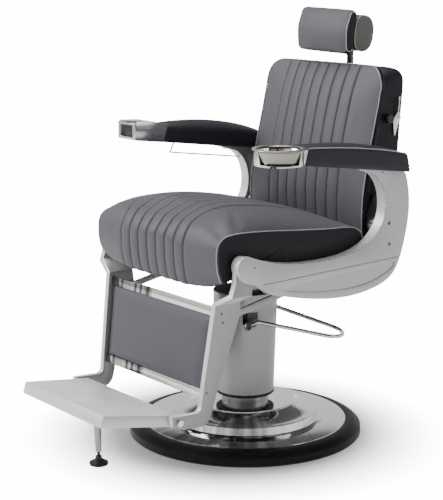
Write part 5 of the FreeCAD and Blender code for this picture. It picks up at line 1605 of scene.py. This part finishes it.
@dataclass
class SideFrames(Hardware):
    """The two cast side frames with their carrier."""

    outer: float = 298.0
    ease: float = 3.0
    boss: Pair = (238.0, 570.0)
    boss_r: float = 24.0
    inside: float = 266.0
    groove: Pair = (2.3, 0.1)
    eyes: tuple[Pair, ...] = ((209.4, 718.1), (-211.0, 525.0))
    eye: Pair = (2.4, 1.0)

    def in_groove(self, spot: Vector, normal: Vector) -> bool:
        """Whether a face lies in the lower panel's grooves or on the boss inside the frame.

        Args:
            spot: The face's middle, in metres.
            normal: Its normal.

        Returns:
            Whether it takes the painted shade.
        """
        away = abs(spot.x) / MM
        # The boss faces inside the frame take the same dark finish.
        if away < self.inside:
            return math.hypot(spot.y / MM - self.boss[0], spot.z / MM - self.boss[1]) < self.boss_r
        # Painted shade on the walls of the lower panel's grooves.
        deep, shallow = self.groove
        return self.outer - deep < away < self.outer - shallow and abs(normal.x) < 0.2

    def dress(self) -> list[bpy.types.Object]:
        """Dresses the frames and what joins them.

        Returns:
            The pieces.
        """
        pieces = []
        for side, name in (LEFT, RIGHT):

            def on_rim(spot: Vector, side: float = side) -> bool:
                """Whether a corner lies on the frame's outer rim."""
                return spot.x * side > (self.outer - 0.05) * MM

            pieces.append(Recast("side_frame_" + name, self.body, CAST, self.ease, 3, on_rim, rim=RIM_CAST_AND_HIGHLIGHT,
                                 dark=GROOVE_SHADE, in_dark=self.in_groove).build())
        spots = [(self.outer, y, z) for y, z in self.eyes]
        pieces.append(screw_heads("frame_eyes", self.body, spots, *self.eye, DARK_STEEL))
        return pieces + super().dress()


@dataclass
class ArmEnds(Hardware):
    """The bright arm caps with the bowl and the black insert."""

    bowl_top: float = 803.2
    bowl_depth: float = 29.0
    sink: float = 2.5
    widen: Pair = (1.11, 0.1)

    def dress(self) -> list[bpy.types.Object]:
        """Dresses the caps and the bowl.

        Returns:
            The pieces.
        """
        return super().dress() + [Recast("ash_bowl", "ash_bowl", BOWL_METAL, reshape=self.full_bowl).build()]

    def full_bowl(self, spot: Vector) -> Vector:
        """Widens the bowl's wall until it fills the holder.

        Args:
            spot: A corner of the bowl, in metres.

        Returns:
            Its new place.
        """
        if spot.z > self.bowl_top * MM:
            return spot
        x, y = (value * MM for value in BOWL)
        depth = (self.bowl_top - spot.z / MM) / self.bowl_depth
        wide = self.widen[0] + self.widen[1] * depth
        return Vector((x + (spot.x - x) * wide, y + (spot.y - y) * wide, spot.z - self.sink * MM * depth))


@dataclass
class BackHardware(Hardware):
    """Brackets, knob, release blade and headrest guide on the backrest."""

    blade: Point = (319.6, 843.0, 13.0)
    bend: Point = (4.0, 835.0, 25.0)

    def dress(self) -> list[bpy.types.Object]:
        """Dresses the hardware.

        Returns:
            The pieces.
        """
        return super().dress() + [Recast("lock_knob", "knob", KNOB_PLASTIC).build(),
                                  Recast("release_lever", "release", CHROME, 0.5, reshape=self.diamond).build(),
                                  Recast("headrest_post", "post", DARK_STEEL, 1.0).build(),
                                  Recast("headrest_ears", "headrest", DARK_STEEL, 0.5).build()]

    def diamond(self, spot: Vector) -> Vector:
        """Widens the release blade into its diamond.

        Args:
            spot: A corner of the blade, in metres.

        Returns:
            Its new place.
        """
        middle, height, spread = self.blade
        shift, start, length = self.bend
        wide = 1.0 + 0.6 * math.exp(-((spot.z / MM - height) / spread) ** 2)
        out = shift * MM * unit((spot.z / MM - start) / length)
        return Vector((spot.x + out, middle * MM + (spot.y - middle * MM) * wide, spot.z))


@dataclass
class LegRest(Hardware):
    """The cast legs, their bars and the link bars."""

    ease: float = 1.6
    screws: tuple[Pair, ...] = ((-265.2, 407.5), (-260.7, 384.8), (-303.7, 212.6))
    low_out: float = 224.0
    screw: Pair = (3.2, 1.4)

    def dress(self) -> list[bpy.types.Object]:
        """Dresses the legs and links.

        Returns:
            The pieces.
        """
        pieces = [Recast(node, self.body, SMOOTH_CAST, self.ease, 2, rim=RIM_CAST_AND_HIGHLIGHT).build()
                  for node in ("leg_left", "leg_right")] + super().dress()
        lean = LEG_SPREAD / LEG_RISE
        spots = [(side * (self.low_out + (z - LEG_LOW) * lean), y, z)
                 for y, z in self.screws for side in (1, -1)]
        pieces.append(screw_heads("leg_screws", self.body, spots, *self.screw, DARK_STEEL))
        return [*pieces, Recast("link_bars", "links", SMOOTH_CAST, 0.8).build()]


@dataclass
class FootRest(Hardware):
    """The cast foot plate with its prop."""

    def dress(self) -> list[bpy.types.Object]:
        """Dresses the foot plate.

        Returns:
            The pieces.
        """
        plate = Recast("footrest_plate", self.body, PEBBLED, 1.5, rim=RIM_CAST_AND_HIGHLIGHT, rim_axis=2, rim_limit=0.85)
        return [plate.build(), *super().dress()]


@dataclass
class Studio:
    """The pale floor, the soft lights and the camera."""

    camera_at: Point = (2.9035, -2.3396, 1.2497)
    azimuth: float = 52.117
    pitch: float = 11.439
    lens: float = 103.15
    floor_glow: float = 15.0
    # The floor's faint glow for light on its way round lights the chair from below.
    floor_share: float = 0.027
    # The painted soft shadow round the base: where it starts, how far it fades, its darkest glow and its middle.
    shade_start: float = 0.3
    shade_width: float = 0.27
    shade_low: float = 0.015
    shade_middle: Pair = (-0.01, -0.032)
    floor_size: float = 130.0
    paint: Pair = (0.82, 0.5)
    air_glow: float = 0.9
    air_seen: float = 14.0
    air_stops: tuple[Pair, ...] = ((0.0, 0.9), (0.5, 1.0), (0.68, 0.95), (0.73, 0.15), (0.9, 0.1), (0.97, 0.6))
    dim_turn: float = 24.0
    dim_from: float = 0.35
    dim_steep: float = 3.0
    dim_share: float = 0.75
    lamps: tuple[tuple[str, Point, float, float, float], ...] = (
        ("key", (-2.4, -3.3, 3.2), 0.5, 2.6, 230.0), ("side", (3.6, 2.0, 2.4), 0.6, 2.0, 18.0),
        ("top", (-0.6, 0.2, 4.4), 0.4, 2.4, 130.0))

    def build(self) -> None:
        """Sets the stage."""
        bpy.ops.mesh.primitive_plane_add(size=self.floor_size, location=(0.0, 0.0, 0.0))
        floor = bpy.context.object
        floor.name = "studio_floor"
        floor.data.materials.append(self.floor_finish())
        for name, spot, aim, size, power in self.lamps:
            self.lamp(name, spot, (0.0, 0.0, aim), size, power)
        self.air()
        self.camera()

    def air(self) -> None:
        """Adds the surroundings: white to the camera, grey bands for the metals to reflect."""
        world = bpy.data.worlds.new("studio_air")
        bpy.context.scene.world = world
        graph = Graph.cleared(world)
        x, y, z = graph.axes(graph.node("ShaderNodeTexCoord").outputs["Generated"])
        ramp = graph.node("ShaderNodeValToRGB", None, {"Fac": z * 0.5 + 0.5})
        elements = ramp.color_ramp.elements
        while len(elements) < len(self.air_stops):
            elements.new(0.5)
        for element, (spot, grey) in zip(elements, self.air_stops):
            element.position = spot
            element.color = (grey, grey, grey, 1.0)
        turn = math.radians(self.azimuth + self.dim_turn)
        toward = (x * math.sin(turn) - y * math.cos(turn) - self.dim_from) * self.dim_steep
        behind_camera = toward.maths("SMOOTH_MIN", toward, 1.0)
        dim = behind_camera.maths("MAXIMUM", behind_camera, 0.0) * -self.dim_share + 1.0
        glow = Sock(graph, ramp.outputs["Color"]) * dim
        seen = graph.seen()
        air = graph.node("ShaderNodeBackground", None, {"Color": glow.maths("MAXIMUM", glow, seen),
                                                        "Strength": seen * self.air_seen + self.air_glow})
        graph.node("ShaderNodeOutputWorld", None, {"Surface": air.outputs[0]})

    def floor_finish(self) -> bpy.types.Material:
        """The seamless white floor: glowing bright to the camera with a painted soft shadow round the chair's base,
        and glowing faintly for other rays as a fill light from below.

        Returns:
            The new material.
        """
        material = bpy.data.materials.new("pale_floor")
        graph = Graph.cleared(material)
        x, y, _ = graph.axes(graph.node("ShaderNodeTexCoord").outputs["Object"])
        # Painted soft shadow: the glow the camera sees fades to a low level towards the base.
        x, y = x - self.shade_middle[0], y - self.shade_middle[1]
        clear = (((x * x + y * y).root() - self.shade_start) * (1.0 / self.shade_width)).within(0.0, 1.0)
        rise = clear * clear * (1.0 - self.shade_low) + self.shade_low
        seen = graph.seen()
        shader = graph.node("ShaderNodeBsdfPrincipled", None,
                            {"Base Color": graph.grey(self.paint[0] - seen * self.paint[1]), "Roughness": 0.8,
                             "Specular IOR Level": 0.2, "Emission Strength": self.floor_glow,
                             "Emission Color": graph.grey(seen * rise + (1.0 - seen) * self.floor_share)})
        graph.node("ShaderNodeOutputMaterial", None, {"Surface": shader.outputs[0]})
        return material

    def lamp(self, name: str, spot: Point, aim: Point, size: float, power: float) -> None:
        """Adds one large soft light.

        Args:
            name: Its name.
            spot: Where it hangs, in metres.
            aim: What it points at, in metres.
            size: Its side in metres.
            power: Its power in watts.
        """
        light = bpy.data.lights.new(name + "_light", "AREA")
        light.shape = "SQUARE"
        light.size = size
        light.energy = power
        lamp = bpy.data.objects.new(name + "_light", light)
        lamp.location = spot
        lamp.rotation_euler = (Vector(aim) - Vector(spot)).to_track_quat("-Z", "Y").to_euler()
        bpy.context.scene.collection.objects.link(lamp)

    def camera(self) -> None:
        """Adds the camera at the photograph's angle."""
        data = bpy.data.cameras.new("camera")
        data.sensor_fit = "VERTICAL"
        data.sensor_height = 36.0
        data.lens = self.lens
        data.clip_end = 150.0
        camera = bpy.data.objects.new("camera", data)
        camera.location = self.camera_at
        camera.rotation_euler = (math.radians(90.0 - self.pitch), 0.0, math.radians(self.azimuth))
        bpy.context.scene.collection.objects.link(camera)
        bpy.context.scene.camera = camera


def main() -> None:
    """Builds the dressed chair and the studio."""
    logging.basicConfig(level=logging.INFO, format="%(message)s")
    pads = (SeatCushion("seat_cushion_skin", "seat", ("seat_cushion",), 0.8),
            BackCushion("back_cushion_skin", "back", ("back_cushion",), 0.8),
            BackShell("back_shell_skin", "back", ("back_shell",), 0.9, cap=3.0),
            HeadrestPad("headrest_pad_skin", "headrest", ("headrest_pad",), 0.8, cap=3.0),
            HeadrestRoll("headrest_roll_skin", "headrest", ("headrest_roll",), 0.9, cap=2.0),
            ArmPad("arm_pad_a", "seat", ("arm_pad_left",), 0.9, cap=2.0, side=1.0),
            ArmPad("arm_pad_b", "seat", ("arm_pad_right",), 0.9, cap=2.0, side=-1.0, recess=False, swell=11.0),
            LegPanel("legrest_panel_skin", "legrest", ("legrest_panel",), 0.8, cap=2.0))
    for pad in pads:
        log.info("%s: %d pieces", pad.name, len(pad.build()))
    hard = (Hardware("base", BASE), Hardware("column", COLUMN_PARTS), Hardware("pump_lever", LEVER),
            SideFrames("seat", CARRIER), ArmEnds("seat", ARM_ENDS), BackHardware("back", BACK_PARTS),
            LegRest("legrest", REST_BARS), FootRest("footrest", PROP))
    for part in hard:
        log.info("%s: %d pieces", part.body, len(part.dress()))
    Studio().build()


if __name__ == "__main__":
    main()
